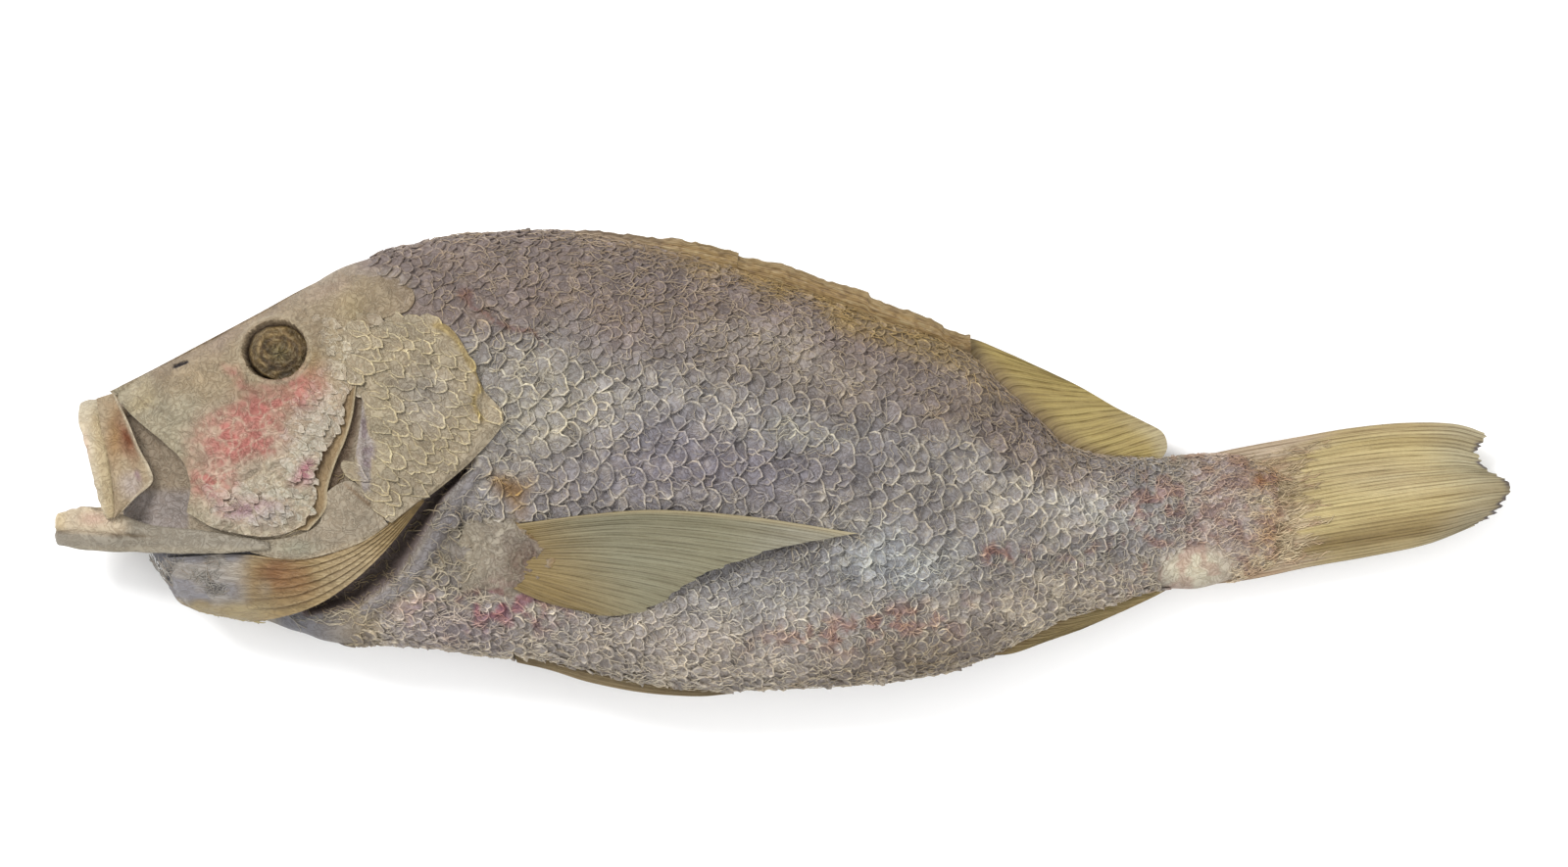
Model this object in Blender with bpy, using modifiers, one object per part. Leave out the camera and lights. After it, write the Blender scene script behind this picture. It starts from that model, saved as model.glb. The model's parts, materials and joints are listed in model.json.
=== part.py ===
"""A whole salted and dried red fish, lying on its right flank, head towards -X and back towards +Y.

The fish is 420 mm long. It rests on the flattened right flank at Z = 0, so its left flank faces up.
Design values are in millimetres and are turned into metres as the meshes are made.
"""

import math

import bmesh
import bpy
from mathutils import Vector

MM = 0.001

# ---------------------------------------------------------------- driving dimensions

# The trunk and head core, as (place along the fish, value).
BACK_LINE = [(-190, 19), (-184, 23.5), (-168, 33), (-151, 42.3), (-126, 55.6), (-109, 62), (-84, 65),
             (-67, 65.8), (-50, 64.3), (-33, 61), (0, 50.5), (26, 41), (42, 36), (53, 30.5), (62, 21.5),
             (72, 12), (82, 4), (95, 1.3), (110, 1.1), (127, 4.1), (140, 5.8)]
BELLY_LINE = [(-190, -16.5), (-184, -22), (-180, -29), (-174, -37), (-168, -42), (-150, -45.6),
              (-126, -52), (-110, -51.4), (-90, -53.6), (-75, -55), (-60, -58), (-40, -62.4), (-25, -64.4),
              (0, -64), (25, -62.8), (43, -60.2), (60, -55), (72, -48.4), (80, -44.4), (95, -40.4),
              (111, -36.4), (118, -36.4), (127, -35.3), (140, -32.4)]
LEFT_LINE = [(-190, 26.5), (-184, 29), (-172, 32.5), (-158, 35.5), (-143, 38.5), (-126, 41), (-110, 43.2),
             (-90, 45.2), (-60, 46), (-25, 46), (0, 44.6), (25, 41), (50, 35), (70, 28.5), (85, 23),
             (100, 19), (115, 16.4), (130, 14), (140, 12.6)]
RIGHT_LINE = [(-190, 13.5), (-184, 11.5), (-172, 9), (-158, 7), (-143, 5.2), (-126, 4), (-110, 3.2),
              (-90, 2.8), (-78, 2.6), (-68, 0), (0, 0), (45, 0), (60, 0.6), (85, 3), (115, 5.2), (140, 6.4)]
MIDDLE_SHARE = 0.48      # height of the back and belly edges between the two flanks
SECTION_POWER = 2.3      # roundness of a cross-section: 2 is an ellipse
RESTING_FLATNESS = 1.3   # how far the right flank is pressed flat against what it lies on
TRUNK_STEPS = 56
TRUNK_RING = 30

GAP = 0.5                # clear space between neighbouring pieces
PLATE = 1.6              # bony plates of the head
JAW = 3.0
FIN = 1.3
TAIL_FIN = 2.0

EYE_PLACE = (-145.5, 32.2)
EYE_SOCKET = (9.3, 8.3)
SOCKET_DEPTH = 6.0
EYEBALL = (8.5, 7.5, 2.4)
EYEBALL_DEPTH = 3.0

MOUTH_PLACE = (-200, 1, 20)
MOUTH_RADII = (30, 12.5, 4.6)

# Edges of the head's plates and of the fins, each a smooth line through a few points.
CHEEK_TOP = [(-184, 16), (-168, 20.5), (-152, 20.5), (-137, 22.5), (-127, 29), (-121, 37)]
CHEEK_BOTTOM = [(-184.5, 12.5), (-176, 6), (-169.5, -1), (-167.5, -12), (-160, -18.5), (-148, -20.4),
                (-138, -19.4), (-132.6, -15), (-132.5, -7), (-127.5, 4), (-121.3, 20)]
COVER_FRONT = [(-118.8, 38.5), (-119, 22), (-120.6, 8), (-121.4, -3), (-117.5, -8), (-112.2, -15.6)]
COVER_REAR = [(-103, 40), (-94, 37.5), (-88, 29), (-84.5, 20), (-79, 12.5), (-87, 2), (-97, -6.4),
              (-105, -12.2), (-111.2, -16)]
LOWER_COVER_TOP = [(-150, -22.3), (-140, -21.6), (-131, -17.5), (-129.6, -9), (-123, -6), (-117, -11),
                   (-113, -16.6)]
LOWER_COVER_BOTTOM = [(-150.5, -25.6), (-144, -26.8), (-136, -27), (-126, -24.6), (-118, -21.4),
                      (-112.4, -17.4)]
GILL_SKIN_TOP = [(-166, -27.6), (-153, -27.6), (-139, -28.8), (-126, -26.2), (-114, -19.2), (-103, -11.2)]
GILL_SKIN_BOTTOM = [(-171.6, -39.5), (-160, -42.6), (-148, -43.2), (-136, -40.6), (-125, -35), (-114, -25.6),
                    (-102.6, -12)]
MAXILLA_FRONT = [(-194.2, 16), (-192.6, 8), (-191, 0), (-189.8, -7), (-190.2, -13.5)]
MAXILLA_REAR = [(-190.5, 18.5), (-186.4, 11), (-182.6, 3), (-180.4, -4), (-184.5, -9.8), (-189.6, -14.6)]
MAXILLA_HEIGHT = 32.2

PECTORAL_BASE = [(-78, -19), (-76, -28), (-77, -36)]
PECTORAL_TIP = [(20, -20), (5, -22.5), (-22, -32), (-42, -42.6), (-58, -41.5)]
PECTORAL_TOP = [(-78, -19), (-64, -16), (-40, -13.2), (-10, -15), (20, -20)]
PECTORAL_BOTTOM = [(-77, -36), (-68, -39.4), (-58, -41.5)]
SPINY_BASE = [(-64, 66.4), (-50, 65.1), (-33, 61.8), (0, 51.4), (26, 42), (40, 37.6), (51, 33)]
SPINY_TOP = [(-64, 66.5), (-50, 66.3), (-33, 64.6), (0, 57.2), (26, 48.4), (51, 37.4)]
SOFT_BASE = [(52.6, 32), (62, 22.8), (72, 13.2), (82, 5.2), (95, 2.2), (109, 2)]
SOFT_TIP = [(53, 36.2), (70, 28.8), (86, 21.6), (100, 14), (109, 9.4), (111, 5)]
ANAL_BASE = [(62, -54.8), (72, -49.2), (80, -45.3), (95, -41.2), (110.5, -37.2)]
ANAL_TIP = [(61, -56.6), (74, -52.8), (86, -48.6), (98, -43.6), (111, -37.8)]
PELVIC_TOP = [(-76, -55.9), (-60, -58.8), (-40, -63.3), (-14, -65.3)]
PELVIC_BOTTOM = [(-75, -57.6), (-60, -61), (-42, -65), (-28, -66.3), (-14, -66)]
TAIL_BASE = [(140.6, 6.2), (140.6, -12), (140.6, -32.2)]
TAIL_TIP = [(203.5, 8), (200.8, 2.6), (202, -1.5), (210, -6.8), (206.5, -13), (199, -18.2)]
TAIL_TOP = [(140.6, 6.2), (156, 9), (176, 11.4), (192, 11.3), (203.5, 8)]
TAIL_BOTTOM = [(140.6, -32.2), (160, -28.8), (182, -24.6), (199, -18.2)]
TAIL_HEIGHT = [(140, 9.6), (175, 9), (210, 7.6)]

LOWER_JAW = [(-152, -23.8, 33.5), (-166, -23.3, 33.5), (-180, -22.4, 30.5), (-192, -21, 28.4),
             (-201, -20, 25.4), (-206.4, -19.4, 21), (-208.2, -19.2, 20)]
LOWER_JAW_HEIGHTS = [2.2, 2.7, 3.1, 3.6, 4.1, 4.3, 4.3]
UPPER_JAW = [(-192.8, -15.4, 29.2), (-193.8, -9, 30), (-195, -1, 30.2), (-196.6, 7, 29.2),
             (-198, 13, 26.6), (-198.2, 16.4, 22.6), (-198.2, 17.2, 20)]
UPPER_JAW_WIDTHS = [1.2, 2.2, 2.5, 2.6, 2.8, 2.8, 2.8]
SNOUT_MIDDLE = 20

SKIN = ("skin", (0.58, 0.50, 0.44), 0.75)
HEAD_PLATE = ("head_plate", (0.72, 0.65, 0.50), 0.65)
JAW_BONE = ("jaw_bone", (0.73, 0.64, 0.48), 0.6)
GILL_SKIN = ("gill_skin", (0.60, 0.46, 0.26), 0.6)
FIN_SKIN = ("fin_skin", (0.66, 0.56, 0.33), 0.6)
EYE_LENS = ("eye_lens", (0.32, 0.26, 0.17), 0.45)


# ---------------------------------------------------------------- lines and surfaces


def value_at(line, x):
    """The value of a smooth line through (x, value) points, with no overshoot between them."""
    x = min(max(x, line[0][0]), line[-1][0])
    slopes = [(b[1] - a[1]) / (b[0] - a[0]) for a, b in zip(line, line[1:])]
    tangents = [slopes[0]]
    for before, after in zip(slopes, slopes[1:]):
        same_way = before * after > 0
        tangents.append(2 * before * after / (before + after) if same_way else 0.0)
    tangents.append(slopes[-1])
    i = max(k for k in range(len(slopes)) if line[k][0] <= x)
    width = line[i + 1][0] - line[i][0]
    t = (x - line[i][0]) / width
    return (line[i][1] * (1 + 2 * t) * (1 - t) ** 2 + line[i + 1][1] * (3 - 2 * t) * t * t
            + tangents[i] * width * t * (1 - t) ** 2 + tangents[i + 1] * width * t * t * (t - 1))


def smooth_path(points, steps=12):
    """Points along a Catmull-Rom curve that passes through the given points."""
    pts = [Vector(p) for p in points]
    ends = [pts[0] * 2 - pts[1]] + pts + [pts[-1] * 2 - pts[-2]]
    path = []
    for a, b, c, d in zip(ends, ends[1:], ends[2:], ends[3:]):
        for k in range(steps):
            t = k / steps
            path.append(0.5 * (2 * b + (c - a) * t + (2 * a - 5 * b + 4 * c - d) * t ** 2
                               + (3 * b - a - 3 * c + d) * t ** 3))
    return path + [pts[-1]]


def spread_evenly(points, count):
    """The smooth curve through the points, as count points evenly spaced along it."""
    path = smooth_path(points)
    reached = [0.0]
    for a, b in zip(path, path[1:]):
        reached.append(reached[-1] + (b - a).length)
    found = []
    for k in range(count):
        want = reached[-1] * k / (count - 1)
        i = max(n for n in range(len(path) - 1) if reached[n] <= want + 1e-9)
        share = (want - reached[i]) / max(reached[i + 1] - reached[i], 1e-9)
        found.append(path[i].lerp(path[i + 1], min(share, 1.0)))
    return found


def section_at(x):
    """Back edge, belly edge, left height, right height and middle height of the trunk at x."""
    left, right = value_at(LEFT_LINE, x), value_at(RIGHT_LINE, x)
    return (value_at(BACK_LINE, x), value_at(BELLY_LINE, x), left, right,
            right + MIDDLE_SHARE * (left - right))


def flank_height(x, y, left_side=True):
    """Height of the trunk's skin above (or, on the right flank, below) the point x, y."""
    back, belly, left, right, middle = section_at(x)
    across = min(abs(y - (back + belly) / 2) / ((back - belly) / 2), 0.97)
    full = (1 - across ** SECTION_POWER) ** (1 / SECTION_POWER)
    if left_side:
        return middle + (left - middle) * full
    return max(right, middle - RESTING_FLATNESS * (middle - right) * full)


def off_skin(x, y, left_side, distance):
    """The point at a distance straight out from the trunk's skin at x, y."""
    step = 0.5
    z = flank_height(x, y, left_side)
    rise_x = (flank_height(x + step, y, left_side) - flank_height(x - step, y, left_side)) / (2 * step)
    rise_y = (flank_height(x, y + step, left_side) - flank_height(x, y - step, left_side)) / (2 * step)
    outward = Vector((-rise_x, -rise_y, 1)).normalized()
    if not left_side:
        outward.negate()
    return Vector((x, y, z)) + outward * distance


def patch(base, tip, start=None, end=None, rows=6, columns=12):
    """A grid of points filling four edges: base to tip, with start and end as the two other sides."""
    low, high = spread_evenly(base, columns), spread_evenly(tip, columns)
    first = spread_evenly(start or [low[0], high[0]], rows)
    last = spread_evenly(end or [low[-1], high[-1]], rows)
    grid = []
    for r in range(rows):
        v = r / (rows - 1)
        line = []
        for c in range(columns):
            u = c / (columns - 1)
            ruled = low[c].lerp(high[c], v) + first[r].lerp(last[r], u)
            corners = low[0].lerp(low[-1], u).lerp(high[0].lerp(high[-1], u), v)
            line.append(ruled - corners)
        grid.append(line)
    return grid


# ---------------------------------------------------------------- objects


def material(named):
    """A Principled material from (name, colour, roughness), made once."""
    name, colour, roughness = named
    made = bpy.data.materials.get(name)
    if made is None:
        made = bpy.data.materials.new(name)
        made.use_nodes = True
        shader = made.node_tree.nodes["Principled BSDF"]
        shader.inputs["Base Color"].default_value = (*colour, 1)
        shader.inputs["Roughness"].default_value = roughness
        shader.inputs["Metallic"].default_value = 0
        made.diffuse_color = (*colour, 1)
    return made


def add_object(name, bm, finish, collection):
    """Closes a bmesh given in millimetres into a named object in metres."""
    bmesh.ops.recalc_face_normals(bm, faces=bm.faces)
    mesh = bpy.data.meshes.new(name)
    bm.to_mesh(mesh)
    bm.free()
    mesh.transform([[MM, 0, 0, 0], [0, MM, 0, 0], [0, 0, MM, 0], [0, 0, 0, 1]])
    mesh.materials.append(material(finish))
    mesh.shade_smooth()
    obj = bpy.data.objects.new(name, mesh)
    collection.objects.link(obj)
    return obj


def loft(rings):
    """A closed bmesh through rings of equal length, capped at both ends."""
    bm = bmesh.new()
    made = [[bm.verts.new(p) for p in ring] for ring in rings]
    for a, b in zip(made, made[1:]):
        for k in range(len(a)):
            n = (k + 1) % len(a)
            bm.faces.new((a[k], a[n], b[n], b[k]))
    bm.faces.new(made[0])
    bm.faces.new(made[-1])
    return bm


def sheet(name, grid, place, thickness, finish, collection):
    """A thin curved piece: a grid of x, y points put at place(x, y) and thickened both ways."""
    bm = bmesh.new()
    made = [[bm.verts.new(place(p[0], p[1])) for p in row] for row in grid]
    for a, b in zip(made, made[1:]):
        for k in range(len(a) - 1):
            bm.faces.new((a[k], a[k + 1], b[k + 1], b[k]))
    obj = add_object(name, bm, finish, collection)
    wall = obj.modifiers.new("wall", "SOLIDIFY")
    wall.thickness = thickness * MM
    wall.offset = 0
    return obj


def bar(name, left_half, right_half, widths, thickness, wide_axis, finish, collection):
    """A jaw: oval rings from one end of the arch round to the other, wide along wide_axis."""
    path = [Vector(p) for p in left_half] + [Vector(p) for p in reversed(right_half[:-1])]
    spans = list(widths) + list(reversed(widths[:-1]))
    rings = []
    for k, centre in enumerate(path):
        ahead = path[min(k + 1, len(path) - 1)] - path[max(k - 1, 0)]
        wide = Vector(wide_axis)
        thin = ahead.cross(wide).normalized() * thickness / 2
        wide = thin.cross(ahead).normalized() * spans[k]
        rings.append([centre + wide * math.cos(a) + thin * math.sin(a)
                      for a in (2 * math.pi * s / 10 for s in range(10))])
    return add_object(name, loft(rings), finish, collection)


def cutter(target, obj):
    """Hides obj and cuts it from target."""
    obj.hide_render = True
    obj.display_type = "WIRE"
    cut = target.modifiers.new("cut_" + obj.name, "BOOLEAN")
    cut.operation = "DIFFERENCE"
    cut.object = obj


def ellipsoid(name, centre, radii, finish, collection, segments=20, rings=12):
    bm = bmesh.new()
    bmesh.ops.create_uvsphere(bm, u_segments=segments, v_segments=rings, radius=1)
    for vert in bm.verts:
        vert.co = Vector(centre) + Vector([vert.co[k] * radii[k] for k in range(3)])
    return add_object(name, bm, finish, collection)


def grown(outline, distance):
    """A closed clockwise outline moved outwards by a distance."""
    moved = []
    for k, here in enumerate(outline):
        along = outline[(k + 1) % len(outline)] - outline[k - 1]
        moved.append(here + Vector((-along.y, along.x)).normalized() * distance)
    return moved


def slab(name, outline, half_height, finish, collection):
    """A flat slab centred on Z = 0."""
    rings = [[(p[0], p[1], z) for p in outline] for z in (-half_height, half_height)]
    return add_object(name, loft(rings), finish, collection)


def oval_drum(name, centre, radii, half_height, finish, collection):
    bm = bmesh.new()
    bmesh.ops.create_cone(bm, cap_ends=True, segments=24, radius1=1, radius2=1, depth=2)
    for vert in bm.verts:
        vert.co = Vector(centre) + Vector((vert.co.x * radii[0], vert.co.y * radii[1],
                                           vert.co.z * half_height))
    return add_object(name, bm, finish, collection)


# ---------------------------------------------------------------- the fish


def make_body(parts, cutters):
    """Trunk, throat and head core as one loft, with the mouth, eye sockets and fin print cut in."""
    first, last = BACK_LINE[0][0], BACK_LINE[-1][0]
    rings = []
    for step in range(TRUNK_STEPS + 1):
        x = first + (last - first) * step / TRUNK_STEPS
        back, belly, left, right, middle = section_at(x)
        ring = []
        for k in range(TRUNK_RING):
            angle = 2 * math.pi * (k + 0.5) / TRUNK_RING
            across, up = math.sin(angle), math.cos(angle)
            y = (back + belly) / 2 + math.copysign(abs(across) ** (2 / SECTION_POWER), across) * (back - belly) / 2
            full = abs(up) ** (2 / SECTION_POWER)
            if up > 0:
                z = middle + (left - middle) * full
            else:
                z = max(right, middle - RESTING_FLATNESS * (middle - right) * full)
            ring.append((x, y, z))
        rings.append(ring)
    body = add_object("body", loft(rings), SKIN, parts)
    cutter(body, ellipsoid("mouth_cutter", MOUTH_PLACE, MOUTH_RADII, SKIN, cutters))
    x, y = EYE_PLACE
    for side, left_side, outward in (("left", True, 1), ("right", False, -1)):
        skin = flank_height(x, y, left_side)
        cutter(body, oval_drum(f"socket_cutter_{side}", (x, y, skin + outward * SOCKET_DEPTH), EYE_SOCKET,
                               2 * SOCKET_DEPTH, SKIN, cutters))
    outline = (smooth_path(PECTORAL_TOP)[:-1] + smooth_path(PECTORAL_TIP)[:-1]
               + smooth_path(PECTORAL_BOTTOM[::-1])[:-1] + smooth_path(PECTORAL_BASE[::-1])[:-1])
    cutter(body, slab("fin_print_cutter", grown(outline, 3 * GAP), FIN + GAP + 0.2, SKIN, cutters))
    return body


def make_eyes(parts):
    """Dried, sunken eyeballs, loose in their sockets."""
    x, y = EYE_PLACE
    for side, left_side, outward in (("left", True, 1), ("right", False, -1)):
        z = flank_height(x, y, left_side) - outward * EYEBALL_DEPTH
        ellipsoid(f"eye_{side}", (x, y, z), EYEBALL, EYE_LENS, parts)


def make_head_plates(parts):
    """The thin bony plates on both sides of the head, each lying just off the skin below it."""
    plates = (("cheek", CHEEK_TOP, CHEEK_BOTTOM, HEAD_PLATE),
              ("gill_cover", COVER_FRONT, COVER_REAR, HEAD_PLATE),
              ("lower_gill_cover", LOWER_COVER_TOP, LOWER_COVER_BOTTOM, HEAD_PLATE),
              ("gill_skin", GILL_SKIN_TOP, GILL_SKIN_BOTTOM, GILL_SKIN))
    for side, left_side in (("left", True), ("right", False)):
        for name, edge_a, edge_b, finish in plates:
            sheet(f"{name}_{side}", patch(edge_a, edge_b, rows=9, columns=12),
                  lambda x, y: off_skin(x, y, left_side, GAP + PLATE / 2), PLATE, finish, parts)


def make_jaws(parts):
    """Both jaw arches run round the open mouth; the maxilla is a plate behind the upper one."""
    upper_right = [(x, y, 2 * SNOUT_MIDDLE - z) for x, y, z in UPPER_JAW]
    bar("upper_jaw", UPPER_JAW, upper_right, UPPER_JAW_WIDTHS, JAW, (1, 0, 0), JAW_BONE, parts)
    left_half, right_half = [], []
    for x, y, z in LOWER_JAW:
        beside_head = x > -188
        clear = 4 * GAP + JAW / 2
        left_half.append(off_skin(x, y, True, clear) if beside_head else (x, y, z))
        right_half.append(off_skin(x, y, False, clear) if beside_head else (x, y, 2 * SNOUT_MIDDLE - z))
    bar("lower_jaw", left_half, right_half, LOWER_JAW_HEIGHTS, JAW, (0, 1, 0), JAW_BONE, parts)
    for side, height in (("left", MAXILLA_HEIGHT), ("right", 2 * SNOUT_MIDDLE - MAXILLA_HEIGHT)):
        sheet(f"maxilla_{side}", patch(MAXILLA_FRONT, MAXILLA_REAR, rows=5, columns=8),
              lambda x, y: (x, y, height), PLATE, JAW_BONE, parts)


def make_fins(parts):
    """Every fin is a thin sheet; the paired fins lie against the flanks and the belly."""
    pectoral = patch(PECTORAL_BASE, PECTORAL_TIP, PECTORAL_TOP, PECTORAL_BOTTOM, rows=14, columns=7)
    lift = GAP + 0.2 + FIN / 2
    sheet("pectoral_fin_left", pectoral, lambda x, y: off_skin(x, y, True, lift), FIN, FIN_SKIN, parts)
    sheet("pectoral_fin_right", pectoral, lambda x, y: (x, y, 0.1 + FIN / 2), FIN, FIN_SKIN, parts)
    pelvic = patch(PELVIC_TOP, PELVIC_BOTTOM, rows=3, columns=12)
    for side, offset in (("left", 4.0), ("right", -4.0)):
        sheet(f"pelvic_fin_{side}", pelvic, lambda x, y: (x, y, section_at(x)[4] + offset), FIN, FIN_SKIN, parts)
    middle = lambda x, y: (x, y, section_at(x)[4])
    sheet("spiny_dorsal_fin", patch(SPINY_BASE, SPINY_TOP, rows=3, columns=18), middle, 2 * FIN, FIN_SKIN,
          parts)
    sheet("soft_dorsal_fin", patch(SOFT_BASE, SOFT_TIP, rows=6, columns=12), middle, FIN, FIN_SKIN, parts)
    sheet("anal_fin", patch(ANAL_BASE, ANAL_TIP, rows=4, columns=12), middle, FIN, FIN_SKIN, parts)
    tail = patch(TAIL_BASE, TAIL_TIP, TAIL_TOP, TAIL_BOTTOM, rows=12, columns=14)
    sheet("tail_fin", tail, lambda x, y: (x, y, value_at(TAIL_HEIGHT, x)), TAIL_FIN, FIN_SKIN, parts)


def main():
    for obj in list(bpy.data.objects):
        bpy.data.objects.remove(obj, do_unlink=True)
    parts = bpy.data.collections.new("salted_red_fish")
    cutters = bpy.data.collections.new("cutters")
    for collection in (parts, cutters):
        bpy.context.scene.collection.children.link(collection)
    make_body(parts, cutters)
    make_eyes(parts)
    make_head_plates(parts)
    make_jaws(parts)
    make_fins(parts)


main()
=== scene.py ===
"""A whole salted, dried red fish on its right flank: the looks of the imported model."""

import json
import math

import bpy
import numpy as np
from mathutils import Matrix, Vector

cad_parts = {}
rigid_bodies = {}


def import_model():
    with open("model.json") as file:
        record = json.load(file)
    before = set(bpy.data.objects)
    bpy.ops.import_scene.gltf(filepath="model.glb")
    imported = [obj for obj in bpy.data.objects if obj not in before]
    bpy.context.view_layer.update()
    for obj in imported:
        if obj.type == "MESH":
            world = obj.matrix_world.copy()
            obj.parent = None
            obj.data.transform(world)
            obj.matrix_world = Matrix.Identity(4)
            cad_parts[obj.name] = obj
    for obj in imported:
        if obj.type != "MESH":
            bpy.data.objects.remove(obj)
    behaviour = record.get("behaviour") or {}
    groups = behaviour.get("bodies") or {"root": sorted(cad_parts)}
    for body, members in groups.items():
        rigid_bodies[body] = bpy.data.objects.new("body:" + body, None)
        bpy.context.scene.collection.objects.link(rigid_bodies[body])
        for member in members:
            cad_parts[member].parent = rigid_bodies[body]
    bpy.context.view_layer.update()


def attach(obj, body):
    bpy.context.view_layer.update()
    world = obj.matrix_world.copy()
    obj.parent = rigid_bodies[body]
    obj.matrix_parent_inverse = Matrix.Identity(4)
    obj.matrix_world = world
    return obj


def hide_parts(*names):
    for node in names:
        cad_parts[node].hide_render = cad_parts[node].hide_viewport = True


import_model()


# ---------------------------------------------------------------- trunk and head core
# The fish's body, grown as one piece: a thick flattened trunk, salted whole and dried hard.
# The skin has shrunk onto the flesh, so it dips at the gill slit, the mouth and the eyes,
# and stands up over the shoulder bone and the root of the breast fin. Sizes in millimetres.

MM = 0.001
BACK_LINE = [(-190, 19), (-184, 23.5), (-168, 33), (-151, 42.3), (-126, 55.6), (-109, 62), (-84, 65),
             (-67, 65.8), (-50, 64.8), (-33, 62), (0, 52), (26, 42.5), (42, 37), (53, 31), (62, 22),
             (72, 12.5), (82, 4.5), (95, 1.5), (110, 1.1), (122, 2), (132, 1.2), (140, -1.5), (147, -6)]
BELLY_LINE = [(-190, -16.5), (-184, -22), (-180, -29), (-174, -37), (-168, -42), (-150, -45.9),
              (-126, -52.2), (-110, -51.6), (-90, -53.9), (-75, -55.5), (-60, -58.5), (-40, -62.8),
              (-25, -64.6), (0, -64), (25, -62.9), (43, -60.3), (60, -55.5), (72, -49), (80, -45),
              (95, -41), (111, -37), (118, -36.8), (127, -34.9), (138, -31), (147, -24)]
LEFT_LINE = [(-190, 26.5), (-184, 29), (-172, 32.5), (-158, 35.5), (-143, 38.5), (-126, 41), (-110, 43.2),
             (-90, 45.2), (-60, 46), (-25, 46), (0, 44.6), (25, 41), (50, 35), (70, 28.5), (85, 23),
             (100, 19), (115, 16.6), (130, 14), (140, 12.2), (147, 10.7)]
RIGHT_LINE = [(-190, 13.5), (-184, 11.5), (-172, 9), (-158, 7), (-143, 5.2), (-126, 4), (-110, 3.4),
              (-90, 3), (-78, 2.8), (-68, 0.9), (0, 0.9), (45, 0.9), (60, 1.4), (85, 3.2), (115, 5.2),
              (140, 7.2), (147, 8.2)]
MIDDLE_SHARE = 0.48
SECTION_POWER = 2.3
RESTING_FLATNESS = 1.3

EYE = (-144.3, 31.8)
SNOUT_EDGE = [(-193, 20.5), (-184, 12), (-176, 5.6), (-170.4, 0), (-168.4, -7), (-170, -14.5)]


def value_at(line, x):
    """A smooth line through (place, value) points, with no overshoot, read at every x."""
    place, value = np.array(line, float).T
    width = np.diff(place)
    slope = np.diff(value) / width
    same_way = slope[:-1] * slope[1:] > 0
    both = np.where(same_way, slope[:-1] + slope[1:], 1)
    tangent = np.concatenate([slope[:1], np.where(same_way, 2 * slope[:-1] * slope[1:] / both, 0), slope[-1:]])
    x = np.clip(x, place[0], place[-1])
    i = np.clip(np.searchsorted(place, x, side="right") - 1, 0, len(width) - 1)
    t = (x - place[i]) / width[i]
    return (value[i] * (1 + 2 * t) * (1 - t) ** 2 + value[i + 1] * (3 - 2 * t) * t * t
            + tangent[i] * width[i] * t * (1 - t) ** 2 + tangent[i + 1] * width[i] * t * t * (t - 1))


def section_at(x):
    left, right = value_at(LEFT_LINE, x), value_at(RIGHT_LINE, x)
    return value_at(BACK_LINE, x), value_at(BELLY_LINE, x), left, right, right + MIDDLE_SHARE * (left - right)


def smooth_step(low, high, value):
    t = np.clip((value - low) / (high - low), 0, 1)
    return t * t * (3 - 2 * t)


def wander(x, y, size, seed):
    """Smooth seeded unevenness from -1 to 1, with humps about `size` across."""
    table = np.random.default_rng(seed).uniform(-1, 1, (61, 61))
    u, v = np.asarray(x) / size + 17.3, np.asarray(y) / size + 29.1
    i, j = np.floor(u).astype(int), np.floor(v).astype(int)
    fu, fv = smooth_step(0, 1, u - i), smooth_step(0, 1, v - j)
    near, far = i % 61, (i + 1) % 61
    low, high = j % 61, (j + 1) % 61
    return ((table[near, low] * (1 - fu) + table[far, low] * fu) * (1 - fv)
            + (table[near, high] * (1 - fu) + table[far, high] * fu) * fv)


def stroke(x, y, line, edge=0.35):
    """1 along a line of (x, y, half width) points, fading to 0 at its half width."""
    nearest = np.full(np.shape(x), 9.0)
    for (ax, ay, aw), (bx, by, bw) in zip(line, line[1:]):
        run = max((bx - ax) ** 2 + (by - ay) ** 2, 1e-9)
        t = np.clip(((x - ax) * (bx - ax) + (y - ay) * (by - ay)) / run, 0, 1)
        away = np.hypot(x - ax - t * (bx - ax), y - ay - t * (by - ay))
        nearest = np.minimum(nearest, away / (aw + t * (bw - aw)))
    return 1 - smooth_step(1 - edge, 1, nearest)


def spot(x, y, middle, radii, lean=0, edge=1.0):
    """1 at the middle of an oval, fading to 0 at its rim; `lean` turns it in degrees."""
    c, s = math.cos(math.radians(lean)), math.sin(math.radians(lean))
    u, v = x - middle[0], y - middle[1]
    away = np.hypot((u * c + v * s) / radii[0], (v * c - u * s) / radii[1])
    return 1 - smooth_step(1 - edge, 1, away)


def in_front_of(x, y, line):
    """How far a point lies ahead of (towards the mouth from) a line given from top to bottom."""
    px, py = np.array(line, float).T
    return np.interp(-y, -py, px) - x


GILL_SLIT = [(-88, 1, 1.2), (-98, -8.5, 2.6), (-106.5, -20, 4.2), (-114, -30, 4.8), (-123, -37.5, 3.6), (-136, -42.5, 1.4)]
SHOULDER_BONE = [(-86, -2, 1.6), (-94, -14, 2.6), (-101, -26, 2.8), (-108, -35, 2.8), (-119, -42, 2.2)]
FLANK_CREASE = [(-92, 49, 0.9), (-80, 42, 1.5), (-67, 31, 0.8)]


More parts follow.
